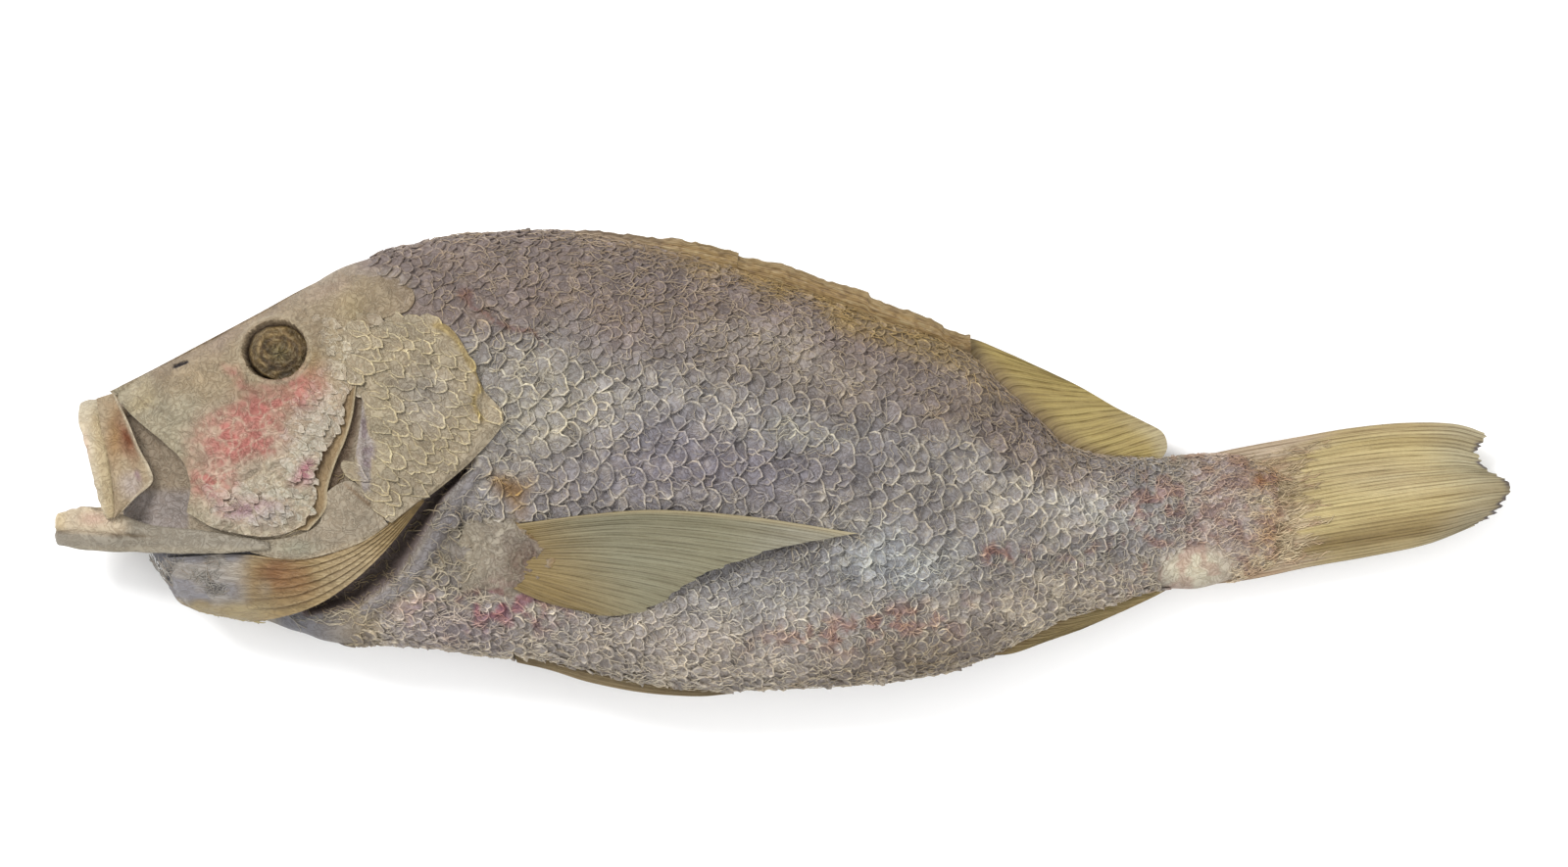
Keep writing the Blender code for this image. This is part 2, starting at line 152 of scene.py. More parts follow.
def unevenness(x, y):
    """How far the dried skin of a flank stands off its smooth form."""
    trunk = smooth_step(-128, -108, x)
    high = trunk * (0.9 * wander(x, y, 38, 1) + 0.45 * wander(x, y, 13, 2) + 0.25 * wander(x, y, 5, 3))
    high += (1 - trunk) * (0.35 * wander(x, y, 14, 4) + 0.1 * wander(x, y, 4, 5))
    high -= 4.2 * stroke(x, y, GILL_SLIT, 0.75)
    high += 1.9 * stroke(x, y, SHOULDER_BONE, 0.9) + 0.5 * spot(x, y, (-94, -24), (20, 26), 30) * wander(x + y, y - x, 3, 11)
    high += 2.6 * spot(x, y, (-85, -27), (14, 13)) + 0.7 * spot(x, y, (-87, -27), (9, 11)) * wander(x, y, 3.5, 6)
    high -= 1.4 * stroke(x, y, FLANK_CREASE, 0.9)
    high -= 9 * spot(x, y, EYE, (11.5, 10.4), 0, 0.25)
    mouth_side = smooth_step(-0.5, 1.5, in_front_of(x, y, SNOUT_EDGE)) * smooth_step(-20, -16, y)
    high -= 2.6 * mouth_side + 0.5 * mouth_side * wander(x, y * 0.4, 2.4, 7)
    high += 0.8 * spot(x, y, (-121, 47), (18, 11), 20, 0.15)
    throat = smooth_step(-24, -27, y) * smooth_step(-118, -140, x)
    high -= 1.2 * throat + 0.5 * throat * wander(x * 0.45 + y * 0.3, y * 1.2, 3.2, 8)
    high *= 1 - 0.8 * smooth_step(120, 140, x)
    high += 3.0 * spot(x, y, (118.5, -30.5), (14, 8)) + 0.8 * spot(x, y, (-72, -9), (7, 14))
    return high


def smooth_skin(x, angle):
    """The trunk's smooth form: angle 0 is the left flank, a quarter turn is the back edge."""
    back, belly, left, right, middle = section_at(x)
    across, up = np.sin(angle), np.cos(angle)
    y = (back + belly) / 2 + np.sign(across) * np.abs(across) ** (2 / SECTION_POWER) * (back - belly) / 2
    full = np.abs(up) ** (2 / SECTION_POWER)
    lower = np.maximum(right, middle - RESTING_FLATNESS * (middle - right) * full)
    return np.stack([x, y, np.where(up > 0, middle + (left - middle) * full, lower)], axis=-1)


def unit(vectors):
    return vectors / np.maximum(np.linalg.norm(vectors, axis=-1, keepdims=True), 1e-9)


def skin_and_outward(x, angle):
    """Points of the uneven skin and the directions straight out from it."""
    x, angle = np.asarray(x, float), np.asarray(angle, float)
    step = 0.6
    along = smooth_skin(x + step, angle) - smooth_skin(x - step, angle)
    around = smooth_skin(x, angle + 0.02) - smooth_skin(x, angle - 0.02)
    outward = unit(np.cross(along, around))
    points = smooth_skin(x, angle)
    pressed = smooth_step(0.15, -0.25, np.cos(angle))
    bump = unevenness(points[..., 0], points[..., 1]) * (1 - 0.75 * pressed)
    points = points + outward * bump[..., None]
    points[..., 2] = np.maximum(points[..., 2], 0.7 * (points[..., 0] > -72) * (points[..., 0] < 60))
    return points, outward


CREAM, SNOUT_TAN, CHEEK_CREAM = (0.50, 0.43, 0.32), (0.42, 0.345, 0.245), (0.58, 0.52, 0.41)
BACK_MAUVE, BACK_OCHRE, FLANK_GREY = (0.27, 0.205, 0.172), (0.32, 0.22, 0.105), (0.32, 0.29, 0.265)
LAVENDER, BLUE_GREY, BELLY_PALE = (0.235, 0.205, 0.235), (0.40, 0.41, 0.40), (0.46, 0.40, 0.335)
PINK, MAGENTA, BLOOD = (0.50, 0.175, 0.16), (0.40, 0.16, 0.20), (0.28, 0.10, 0.06)
GILL_SLIT_SHADE, THROAT_BLUE, MEMBRANE = (0.06, 0.04, 0.03), (0.29, 0.275, 0.285), (0.33, 0.26, 0.18)
TAIL_PINK = (0.56, 0.44, 0.37)
EXPOSURE_SHARE = 0.758


def tint(tone, colour, share):
    return tone + (np.array(colour) - tone) * np.clip(share, 0, 1)[..., None]


def flesh_tone(x, y):
    """The colour of skin or scale at a place on a flank."""
    wx = x + 3.5 * wander(x, y, 11, 20) + 1.5 * wander(x, y, 3.5, 21)
    wy = y + 3.5 * wander(x, y, 11, 22) + 1.5 * wander(x, y, 3.5, 23)
    back, belly = value_at(BACK_LINE, x), value_at(BELLY_LINE, x)
    share = (wy - belly) / (back - belly)
    tone = np.zeros(np.shape(x) + (3,)) + np.array(FLANK_GREY)
    tone = tint(tone, BELLY_PALE, 0.95 * smooth_step(0.36, 0.16, share))
    tone = tint(tone, BACK_MAUVE, smooth_step(0.66, 0.84, share) * smooth_step(110, 60, wx))
    tone = tint(tone, LAVENDER, 0.8 * spot(wx, wy, (-25, 0), (75, 22)))
    tone = tint(tone, (0.42, 0.375, 0.295), 0.95 * spot(wx, wy, (-74, 16), (44, 28)))
    tone = tint(tone, (0.385, 0.325, 0.26), 0.9 * spot(wx, wy, (0, 31), (58, 13), -14))
    tone = tint(tone, (0.235, 0.175, 0.13), 0.85 * spot(wx, wy, (58, 16), (34, 13), -38))
    tone = tint(tone, (0.37, 0.35, 0.29), 0.7 * spot(wx, wy, (5, 9), (22, 9)))
    tone = tint(tone, (0.44, 0.45, 0.435), 0.95 * spot(wx, wy, (33, -27), (32, 14), -6))
    tone = tint(tone, BLUE_GREY, 0.5 * spot(wx, wy, (90, -15), (22, 9), -12))
    tone = tint(tone, (0.25, 0.195, 0.145), 0.85 * spot(wx, wy, (36, -56), (54, 12), 12))
    tone = tint(tone, (0.27, 0.22, 0.20), 0.6 * spot(wx, wy, (72, 2), (26, 10), -30))
    tone = tint(tone, (0.42, 0.345, 0.335), 0.85 * spot(wx, wy, (-95, -46), (28, 11)))
    tone = tint(tone, BACK_OCHRE, smooth_step(9, 3, back - wy) * smooth_step(-45, -5, wx) * smooth_step(70, 45, wx))
    tone = tint(tone, TAIL_PINK, 0.8 * smooth_step(108, 126, wx))
    tone = tint(tone, (0.60, 0.49, 0.34), 0.9 * smooth_step(131, 142, wx + 0.25 * np.abs(y + 15)))
    tone = tint(tone, (0.60, 0.54, 0.40), 0.95 * spot(x, y, (119, -31), (15, 9), 5, 0.7))
    tone = tint(tone, (0.40, 0.17, 0.075), 0.95 * spot(wx, wy, (137.5, -6.5), (7, 5.5)) + 0.6 * spot(wx, wy, (140, -19), (6, 5)))
    tone = tint(tone, (0.30, 0.19, 0.165), 0.5 * spot(wx, wy, (131, 0), (9, 5)))
    # brightness gains over broad patches, mostly setting the skin's tone; the gains low along the belly also paint
    # light onto its lower edge, where it rounds away
    light = np.zeros_like(tone) + (0.03, 0.04, 0.055)
    for middle, radii, lean, gain in (((105, -12), (56, 26), 0, (0.26, 0.28, 0.28)), ((52, 24), (34, 18), -30, (0.12, 0.17, 0.22)),
                                      ((74, -14), (34, 16), -16, (0.26, 0.26, 0.20)), ((-40, -30), (34, 10), 0, (-0.14, -0.11, -0.06)),
                                      ((128, 2), (22, 9), 0, (0.12, 0.14, 0.18)), ((-30, -58), (50, 12), -4, (0.10, 0.10, 0.08)),
                                      ((88, -13), (24, 13), -12, (0.20, 0.18, 0.15)), ((-66, -9), (16, 9), 0, (0.14, 0.10, 0.05)),
                                      ((-5, -38), (60, 18), 0, (-0.03, 0.05, 0.13)), ((14, -57), (44, 12), 0, (0.16, 0.18, 0.20)),
                                      ((10, 50), (60, 16), -10, (0.08, 0.08, 0.10)), ((-22, -46), (80, 18), -4, (0.20, 0.20, 0.20)),
                                      ((-40, 12), (60, 20), 0, (0.12, 0.14, 0.15)), ((-45, 33), (15, 12), 0, (0.20, 0.20, 0.20)),
                                      ((-80, 14), (20, 18), 0, (-0.14, -0.13, -0.08)), ((-40, 54), (40, 10), 0, (-0.06, -0.05, -0.02))):
        light += spot(x, y, middle, radii, lean)[..., None] * gain
    tone = tone * (1 + light)
    # bruises low on the flank, broken up into flecks
    fleck = smooth_step(0.05, 0.5, wander(x, y, 2.1, 24) + 0.5 * wander(x, y, 5.5, 25))
    tone = tint(tone, (0.38, 0.14, 0.18), smooth_step(-0.15, 0.4, wander(x, y, 2.4, 24) + 0.5 * wander(x, y, 6, 25))
                * spot(wx, wy, (-83, -42), (38, 11)))
    tone = tint(tone, (0.42, 0.17, 0.13), 0.7 * fleck * spot(wx, wy, (25, -46), (52, 10), 8))
    tone = tint(tone, (0.42, 0.17, 0.13), 0.55 * fleck * spot(wx, wy, (95, -28), (30, 8), 6))
    tone = tint(tone, (0.42, 0.17, 0.13), 0.75 * fleck * spot(wx, wy, (64, -24), (17, 6.5), -4))
    tone = tint(tone, (0.44, 0.19, 0.18), 0.5 * fleck * spot(wx, wy, (106, -13), (16, 11)))
    tone = tint(tone, (0.38, 0.17, 0.14), 0.4 * fleck * smooth_step(80, 120, wx))
    tone = tint(tone, (0.22, 0.075, 0.05), 0.6 * stroke(wx, wy, FLANK_CREASE, 0.9))
    tone = tint(tone, (0.38, 0.205, 0.05), 0.95 * spot(wx, wy, (-76, -9), (7.5, 11), 20))
    tone = tint(tone, (0.17, 0.125, 0.095), 0.8 * spot(wx, wy, (-74, -28), (6, 7)))
    # the bare head: tan snout, cream nape, pale shoulder, painted shade in the gill slit
    head = smooth_step(-112, -122, x + 0.5 * (y - 45) * (y > 45))
    tone = tint(tone, SNOUT_TAN, head)
    # darker along the back edge of the head: partly the skin's own brown, partly painted shade where the head rounds
    # over
    tone = tint(tone, (0.33, 0.26, 0.19), 0.7 * head * smooth_step(7, 1, back - y))
    tone = tint(tone, (0.40, 0.33, 0.255), 0.8 * spot(x, y, (-119, 46), (17, 10), 20, 0.3))
    # painted shade, dark brown, in the groove between the cheek and the gill cover
    groove_shade = stroke(x, y, [(-120.6, 24, 1.6), (-122, 14, 3), (-125, 3, 4), (-128.5, -7, 4), (-128, -14, 3)], 0.6)
    tone = tint(tone, (0.13, 0.08, 0.045), 0.9 * groove_shade)
    throat = smooth_step(-23, -26, y) * smooth_step(-116, -138, x)
    tone = tint(tone, np.array(THROAT_BLUE) * (0.72, 0.74, 0.78), throat)
    tone = tint(tone, (0.36, 0.29, 0.16), throat * smooth_step(-39.5, -41.5, y) * smooth_step(-142, -150, x))
    shoulder = spot(x, y, (-96, -24), (16, 24), 30)
    tone = tint(tone, (0.215, 0.185, 0.15), 0.8 * shoulder)
    tone = tint(tone, (0.25, 0.23, 0.235), 0.8 * stroke(x, y, SHOULDER_BONE, 0.6))
    # the gill slit: a dark brown band of its own colour, and along it painted shade, near black, for the opening
    tone = tint(tone, (0.17, 0.13, 0.12), stroke(x, y, [(a, b, w * 1.3) for a, b, w in GILL_SLIT], 0.4))
    tone = tint(tone, GILL_SLIT_SHADE, 0.75 * stroke(x - 0.8, y, [(a, b, w * 0.9) for a, b, w in GILL_SLIT], 0.8))
    mouth_side = smooth_step(-1, 0.5, in_front_of(x, y, SNOUT_EDGE)) * smooth_step(-20, -18, y)
    tone = tint(tone, MEMBRANE, mouth_side)
    tone = tint(tone, (0.35, 0.30, 0.27), mouth_side * smooth_step(-6, -10, y))
    return tone


def dried_grain_group():
    """Mottling, fine wrinkles and salt-dried grain, laid over any tone."""
    group = bpy.data.node_groups.new("dried_grain", "ShaderNodeTree")
    for name, kind, value in (("Tone", "NodeSocketColor", (0.5, 0.4, 0.3, 1)), ("Mottle", "NodeSocketFloat", 0.3),
                              ("Wrinkle Size", "NodeSocketFloat", 1.5), ("Crease Darkening", "NodeSocketFloat", 0.3),
                              ("Stretch", "NodeSocketVector", (1, 1, 1))):
        made = group.interface.new_socket(name=name, in_out="INPUT", socket_type=kind)
        made.default_value = value
    for name, kind in (("Tone", "NodeSocketColor"), ("Roughness", "NodeSocketFloat"), ("Height", "NodeSocketFloat")):
        group.interface.new_socket(name=name, in_out="OUTPUT", socket_type=kind)
    nodes, links = group.nodes, group.links
    given, result = nodes.new("NodeGroupInput"), nodes.new("NodeGroupOutput")
    coordinates = nodes.new("ShaderNodeTexCoord")
    stretched = nodes.new("ShaderNodeVectorMath")
    stretched.operation = "MULTIPLY"
    links.new(coordinates.outputs["Object"], stretched.inputs[0])
    links.new(given.outputs["Stretch"], stretched.inputs[1])

    def noise(scale, detail, roughness, kind="FBM", distortion=0.0):
        node = nodes.new("ShaderNodeTexNoise")
        node.noise_type = kind
        node.inputs["Scale"].default_value = scale
        node.inputs["Detail"].default_value = detail
        node.inputs["Roughness"].default_value = roughness
        node.inputs["Distortion"].default_value = distortion
        links.new(stretched.outputs[0], node.inputs["Vector"])
        return node

    def sum_of(a, b, operation="ADD"):
        node = nodes.new("ShaderNodeMath")
        node.operation = operation
        for socket, source in zip(node.inputs, (a, b)):
            if isinstance(source, (int, float)):
                socket.default_value = source
            else:
                links.new(source, socket)
        return node.outputs[0]

    broad = noise(110, 4, 0.6)
    wrinkle = noise(400, 5, 0.65, distortion=1.2)
    per_size = sum_of(600.0, given.outputs["Wrinkle Size"], "DIVIDE")
    links.new(per_size, wrinkle.inputs["Scale"])
    grain = noise(2600, 3, 0.7)
    creases = noise(300, 3, 0.55, distortion=2.0)
    fold = sum_of(sum_of(creases.outputs["Fac"], 0.5, "SUBTRACT"), 0.0)
    absolute = nodes.new("ShaderNodeMath")
    absolute.operation = "ABSOLUTE"
    links.new(fold, absolute.inputs[0])
    crease_line = sum_of(sum_of(absolute.outputs[0], 14.0, "MULTIPLY"), 1.0, "MINIMUM")
    # light and dark patches
    swing = sum_of(sum_of(broad.outputs["Fac"], wrinkle.outputs["Fac"]), 1.0, "SUBTRACT")
    lightness = sum_of(sum_of(sum_of(swing, given.outputs["Mottle"], "MULTIPLY"), 3.2, "MULTIPLY"), 1.0)
    shaded = nodes.new("ShaderNodeVectorMath")
    shaded.operation = "SCALE"
    links.new(given.outputs["Tone"], shaded.inputs[0])
    links.new(lightness, shaded.inputs["Scale"])
    # darker along the fine crease lines, which the bump also sets lowest; each finish gives how much
    crease_darkened = nodes.new("ShaderNodeMix")
    crease_darkened.data_type = "RGBA"
    crease_darkened.blend_type = "MULTIPLY"
    crease_darkened.inputs["B"].default_value = (0.5, 0.36, 0.22, 1)
    dark = sum_of(sum_of(1.0, crease_line, "SUBTRACT"), given.outputs["Crease Darkening"], "MULTIPLY")
    links.new(dark, crease_darkened.inputs["Factor"])
    links.new(shaded.outputs[0], crease_darkened.inputs["A"])
    links.new(crease_darkened.outputs["Result"], result.inputs["Tone"])
    links.new(sum_of(sum_of(wrinkle.outputs["Fac"], 0.35, "MULTIPLY"), 0.45), result.inputs["Roughness"])
    height = sum_of(sum_of(wrinkle.outputs["Fac"], 1.0, "MULTIPLY"), sum_of(grain.outputs["Fac"], 0.28, "MULTIPLY"))
    height = sum_of(height, sum_of(crease_line, 0.35, "MULTIPLY"))
    links.new(height, result.inputs["Height"])
    return group


DRIED_GRAIN = dried_grain_group()


def dried_finish(name, mottle, wrinkle_size, crease_darkening, depth, roughness_shift=0.0, stretch=(1, 1, 1), coat=0.0):
    """A finish whose tone is painted on the piece, worked over by the dried grain."""
    made = bpy.data.materials.new(name)
    made.use_nodes = True
    nodes, links = made.node_tree.nodes, made.node_tree.links
    shader = nodes["Principled BSDF"]
    painted = nodes.new("ShaderNodeAttribute")
    painted.attribute_name = "tone"
    grain = nodes.new("ShaderNodeGroup")
    grain.node_tree = DRIED_GRAIN
    grain.inputs["Mottle"].default_value = mottle
    grain.inputs["Wrinkle Size"].default_value = wrinkle_size
    grain.inputs["Crease Darkening"].default_value = crease_darkening
    grain.inputs["Stretch"].default_value = stretch
    links.new(painted.outputs["Color"], grain.inputs["Tone"])
    links.new(grain.outputs["Tone"], shader.inputs["Base Color"])
    rough = nodes.new("ShaderNodeMath")
    rough.operation = "ADD"
    rough.inputs[1].default_value = roughness_shift
    links.new(grain.outputs["Roughness"], rough.inputs[0])
    links.new(rough.outputs[0], shader.inputs["Roughness"])
    bump = nodes.new("ShaderNodeBump")
    bump.inputs["Strength"].default_value = 1.0
    bump.inputs["Distance"].default_value = depth * MM
    links.new(grain.outputs["Height"], bump.inputs["Height"])
    links.new(bump.outputs["Normal"], shader.inputs["Normal"])
    shader.inputs["Specular IOR Level"].default_value = 0.35
    shader.inputs["Coat Weight"].default_value = coat
    return made


def finished(name, points, faces, tone, finish, slot, *nodes, sharp=None):
    """Makes a piece from points in millimetres, paints it and fixes it to the fish."""
    mesh = bpy.data.meshes.new(name)
    mesh.from_pydata((np.asarray(points).reshape(-1, 3) * MM).tolist(), [], faces)
    mesh.validate()
    layer = mesh.color_attributes.new("tone", "FLOAT_COLOR", "POINT")
    layer.data.foreach_set("color", np.c_[np.clip(tone.reshape(-1, 3) * EXPOSURE_SHARE, 0, 1),
                                           np.ones(len(mesh.vertices))].ravel())
    mesh.shade_smooth()
    if sharp:
        mesh.set_sharp_from_angle(angle=math.radians(sharp))
    mesh.materials.append(finish)
    obj = bpy.data.objects.new(name, mesh)
    bpy.context.scene.collection.objects.link(obj)
    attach(obj, "root")
    if nodes:
        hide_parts(*nodes)
    return obj


SKIN_FINISH = dried_finish("dried_skin", 0.16, 1.3, 0.35, 0.5)

STATIONS = 372
LEFT_RING, RIGHT_RING = 176, 66
MOUTH_MIDDLE = (2.0, 20.0)

stations = np.linspace(-190, 147, STATIONS)
angles = np.concatenate([np.linspace(-math.pi / 2, math.pi / 2, LEFT_RING, endpoint=False),
                         np.linspace(math.pi / 2, 3 * math.pi / 2, RIGHT_RING, endpoint=False)])
grid_x, grid_angle = np.meshgrid(stations, angles, indexing="ij")
body_points, _ = skin_and_outward(grid_x, grid_angle)
flesh_end = smooth_step(134, 147, grid_x)
body_points[..., 0] -= flesh_end * (3.5 + 4.5 * wander(body_points[..., 1], grid_angle * 6, 3.8, 9)
                                    + 2.2 * wander(body_points[..., 1], grid_angle * 6, 1.3, 10)
                                    + 0.05 * (body_points[..., 1] + 13) ** 2)
body_tone = flesh_tone(body_points[..., 0], body_points[..., 1])
body_tone *= (0.8 + 0.2 * np.maximum(smooth_step(126, 140, grid_x), spot(body_points[..., 0], body_points[..., 1], (119, -31), (16, 9))))[..., None]
mouth_rings, mouth_shade_tones = [], []
# rings of membrane lining the mouth, painted darker the deeper they go: painted shade inside the mouth
for step in range(12, 0, -1):
    depth = step / 12
    ring = body_points[0].copy()
    shrink = 0.93 - 0.6 * depth ** 1.5
    ring[:, 0] += 0.8 + 26 * depth
    ring[:, 1] = MOUTH_MIDDLE[0] + (ring[:, 1] - MOUTH_MIDDLE[0]) * shrink
    ring[:, 2] = MOUTH_MIDDLE[1] + (ring[:, 2] - MOUTH_MIDDLE[1]) * shrink
    mouth_rings.append(ring)
    mouth_shade_tones.append(np.zeros_like(ring) + np.array(MEMBRANE) * (1 - 0.85 * depth))
body_points = np.concatenate([np.array(mouth_rings), body_points])
body_tone = np.concatenate([np.array(mouth_shade_tones), body_tone])
rows, around = body_points.shape[:2]
index = np.arange(rows * around).reshape(rows, around)
turned = np.roll(index, -1, axis=1)
body_faces = np.stack([index[:-1], index[1:], turned[1:], turned[:-1]], axis=-1).reshape(-1, 4).tolist()
body_faces += [index[0].tolist(), index[-1][::-1].tolist()]
finished("trunk", body_points, body_faces, body_tone, SKIN_FINISH, "skin", "body")


# ---------------------------------------------------------------- scales
# Overlapping horny discs in skin pockets, larger on the flank and finer on the back and belly.
# Drying has curled and torn their rear rims, which stand up pale around a darker, bluish middle.

SECTORS = 14


def curled_scale(name, seed, rim_height, rear_point):
    """One dried scale, one unit from middle to edge, with its rear (+X) rim torn and standing up."""
    rng = np.random.default_rng(seed)
    turn = np.arange(SECTORS) / SECTORS * 2 * math.pi
    crinkle = rng.uniform(-1, 1, SECTORS)
    rear = 0.5 + 0.5 * np.cos(turn)
    reach = 1 + rear_point * rear ** 3 + 0.2 * crinkle * (0.3 + rear)
    curl = 0.2 + 0.8 * rear + 0.4 * rng.uniform(-1, 1, SECTORS)
    worn = rng.uniform(0.35, 1.0, SECTORS)
    points, rim = [(0, 0, 0)], [0.0]
    # each ring: how far out, its lift, its drop below the seat and how pale it is; the last ring, the foot of the rim
    # wall, is painted darker than the rim above it: painted shade under the curled rim
    for out, lift, base, share in ((0.60, 0.0, 0, 0.0), (0.82, 0.22, 0, 0.1), (0.89, 0.58, 0, 1.0), (1.0, 0.66, 0, 1.0),
                                   (0.97, 0.0, -0.6, 0.2)):
        for k in range(SECTORS):
            r = out * reach[k]
            points.append((r * math.cos(turn[k]), r * math.sin(turn[k]), (lift * curl[k] + base) * rim_height))
            rim.append(share * worn[k] * min(1.0, 0.12 + 1.5 * rear[k]))
    faces = [(0, 1 + k, 1 + (k + 1) % SECTORS) for k in range(SECTORS)]
    for ring in range(4):
        a, b = 1 + ring * SECTORS, 1 + (ring + 1) * SECTORS
        faces += [(a + k, b + k, b + (k + 1) % SECTORS, a + (k + 1) % SECTORS) for k in range(SECTORS)]
    faces.append(tuple(1 + 4 * SECTORS + k for k in reversed(range(SECTORS))))
    mesh = bpy.data.meshes.new(name)
    mesh.from_pydata([tuple(c * MM for c in p) for p in points], [], faces)
    mesh.attributes.new("rim", "FLOAT", "POINT").data.foreach_set("value", rim)
    mesh.shade_smooth()
    return bpy.data.objects.new(name, mesh)


def kinds_of(name, makers):
    kinds = bpy.data.collections.new(name)
    bpy.context.scene.collection.children.link(kinds)
    for obj in makers:
        kinds.objects.link(obj)
    return kinds


def growth_tree():
    """Sets one of a collection's shapes on every seat, turned as the seat says, with some disorder."""
    tree = bpy.data.node_groups.new("growth", "GeometryNodeTree")
    for name, kind in (("Seats", "NodeSocketGeometry"), ("Shapes", "NodeSocketCollection"),
                       ("Disorder", "NodeSocketFloat"), ("Size Spread", "NodeSocketFloat"),
                       ("Seed", "NodeSocketInt"), ("Finish", "NodeSocketMaterial")):
        tree.interface.new_socket(name=name, in_out="INPUT", socket_type=kind)
    tree.interface.new_socket(name="Grown", in_out="OUTPUT", socket_type="NodeSocketGeometry")
    nodes, links = tree.nodes, tree.links
    given, result = nodes.new("NodeGroupInput"), nodes.new("NodeGroupOutput")
    shapes = nodes.new("GeometryNodeCollectionInfo")
    shapes.inputs["Separate Children"].default_value = True
    shapes.inputs["Reset Children"].default_value = True
    links.new(given.outputs["Shapes"], shapes.inputs["Collection"])

    def seat_value(name):
        node = nodes.new("GeometryNodeInputNamedAttribute")
        node.data_type = "FLOAT_VECTOR"
        node.inputs["Name"].default_value = name
        return node.outputs["Attribute"]

    def scaled(vector, factor):
        node = nodes.new("ShaderNodeVectorMath")
        node.operation = "SCALE"
        links.new(vector, node.inputs[0])
        links.new(factor, node.inputs["Scale"])
        return node.outputs[0]

    facing = nodes.new("FunctionNodeEulerToRotation")
    links.new(seat_value("turn"), facing.inputs[0])
    twist = nodes.new("FunctionNodeRandomValue")
    twist.data_type = "FLOAT_VECTOR"
    twist.inputs["Min"].default_value = (-1, -1, -1.6)
    twist.inputs["Max"].default_value = (1, 1, 1.6)
    links.new(given.outputs["Seed"], twist.inputs["Seed"])
    jitter = nodes.new("FunctionNodeEulerToRotation")
    links.new(scaled(twist.outputs["Value"], given.outputs["Disorder"]), jitter.inputs[0])
    both = nodes.new("FunctionNodeRotateRotation")
    both.rotation_space = "LOCAL"
    links.new(facing.outputs[0], both.inputs[0])
    links.new(jitter.outputs[0], both.inputs[1])
    swing = nodes.new("FunctionNodeRandomValue")
    swing.data_type = "FLOAT_VECTOR"
    swing.inputs["Min"].default_value = (-1, -1, -1)
    swing.inputs["Max"].default_value = (1, 1, 1.8)
    links.new(given.outputs["Seed"], swing.inputs["Seed"])
    spread = nodes.new("ShaderNodeVectorMath")
    spread.operation = "MULTIPLY_ADD"
    links.new(scaled(swing.outputs["Value"], given.outputs["Size Spread"]), spread.inputs[0])
    size = seat_value("size")
    links.new(size, spread.inputs[1])
    links.new(size, spread.inputs[2])
    grown = nodes.new("GeometryNodeInstanceOnPoints")
    grown.inputs["Pick Instance"].default_value = True
    links.new(given.outputs["Seats"], grown.inputs["Points"])
    links.new(shapes.outputs[0], grown.inputs["Instance"])
    links.new(both.outputs[0], grown.inputs["Rotation"])
    links.new(spread.outputs[0], grown.inputs["Scale"])
    lot = nodes.new("FunctionNodeRandomValue")
    lot.data_type = "FLOAT"
    links.new(given.outputs["Seed"], lot.inputs["Seed"])
    keep = nodes.new("GeometryNodeStoreNamedAttribute")
    keep.data_type = "FLOAT"
    keep.domain = "INSTANCE"
    keep.inputs["Name"].default_value = "lot"
    links.new(grown.outputs[0], keep.inputs["Geometry"])
    links.new([s for s in lot.outputs if s.enabled][0], keep.inputs["Value"])
    real = nodes.new("GeometryNodeRealizeInstances")
    links.new(keep.outputs[0], real.inputs[0])
    painted = nodes.new("GeometryNodeSetMaterial")
    links.new(real.outputs[0], painted.inputs["Geometry"])
    links.new(given.outputs["Finish"], painted.inputs["Material"])
    links.new(painted.outputs[0], result.inputs[0])
    return tree


GROWTH = growth_tree()


def grow(name, points, outward, rearward, sizes, shapes, disorder, spread, seed, finish, tone_of):
    """Grows shapes on seats, makes the result a plain mesh, paints it and fixes it to the fish."""
    side = unit(np.cross(outward, rearward))
    front = np.cross(side, outward)
    turns = [Matrix(np.stack([f, s, o], axis=1).tolist()).to_euler() for f, s, o in zip(front, side, outward)]
    seats = bpy.data.meshes.new(name + "_seats")
    seats.from_pydata((points * MM).tolist(), [], [])
    seats.attributes.new("turn", "FLOAT_VECTOR", "POINT").data.foreach_set("vector", np.array(turns).ravel())
    seats.attributes.new("size", "FLOAT_VECTOR", "POINT").data.foreach_set("vector", np.asarray(sizes).ravel())
    carrier = bpy.data.objects.new(name + "_seats", seats)
    bpy.context.scene.collection.objects.link(carrier)
    growing = carrier.modifiers.new("growth", "NODES")
    growing.node_group = GROWTH
    values = {"Shapes": shapes, "Disorder": disorder, "Size Spread": spread, "Seed": seed, "Finish": finish}
    for item in GROWTH.interface.items_tree:
        if item.in_out == "INPUT" and item.name in values:
            growing[item.identifier] = values[item.name]
    graph = bpy.context.evaluated_depsgraph_get()
    mesh = bpy.data.meshes.new_from_object(carrier.evaluated_get(graph))
    bpy.data.objects.remove(carrier)
    mesh.name = name
    count = len(mesh.vertices)
    where = np.empty(count * 3)
    mesh.vertices.foreach_get("co", where)
    where = where.reshape(-1, 3) / MM
    rim, lot = np.zeros(count), np.zeros(count)
    mesh.attributes["rim"].data.foreach_get("value", rim)
    mesh.attributes["lot"].data.foreach_get("value", lot)
    low = where[:, 2] < 0
    if low.any():
        where[low, 2] = 0
        mesh.vertices.foreach_set("co", (where * MM).ravel())
    layer = mesh.color_attributes.new("tone", "FLOAT_COLOR", "POINT")
    tone = np.clip(tone_of(where, rim, lot) * EXPOSURE_SHARE, 0, 1)
    layer.data.foreach_set("color", np.c_[tone, np.ones(count)].ravel())
    mesh.shade_smooth()
    obj = bpy.data.objects.new(name, mesh)
    bpy.context.scene.collection.objects.link(obj)
    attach(obj, "root")
    return obj


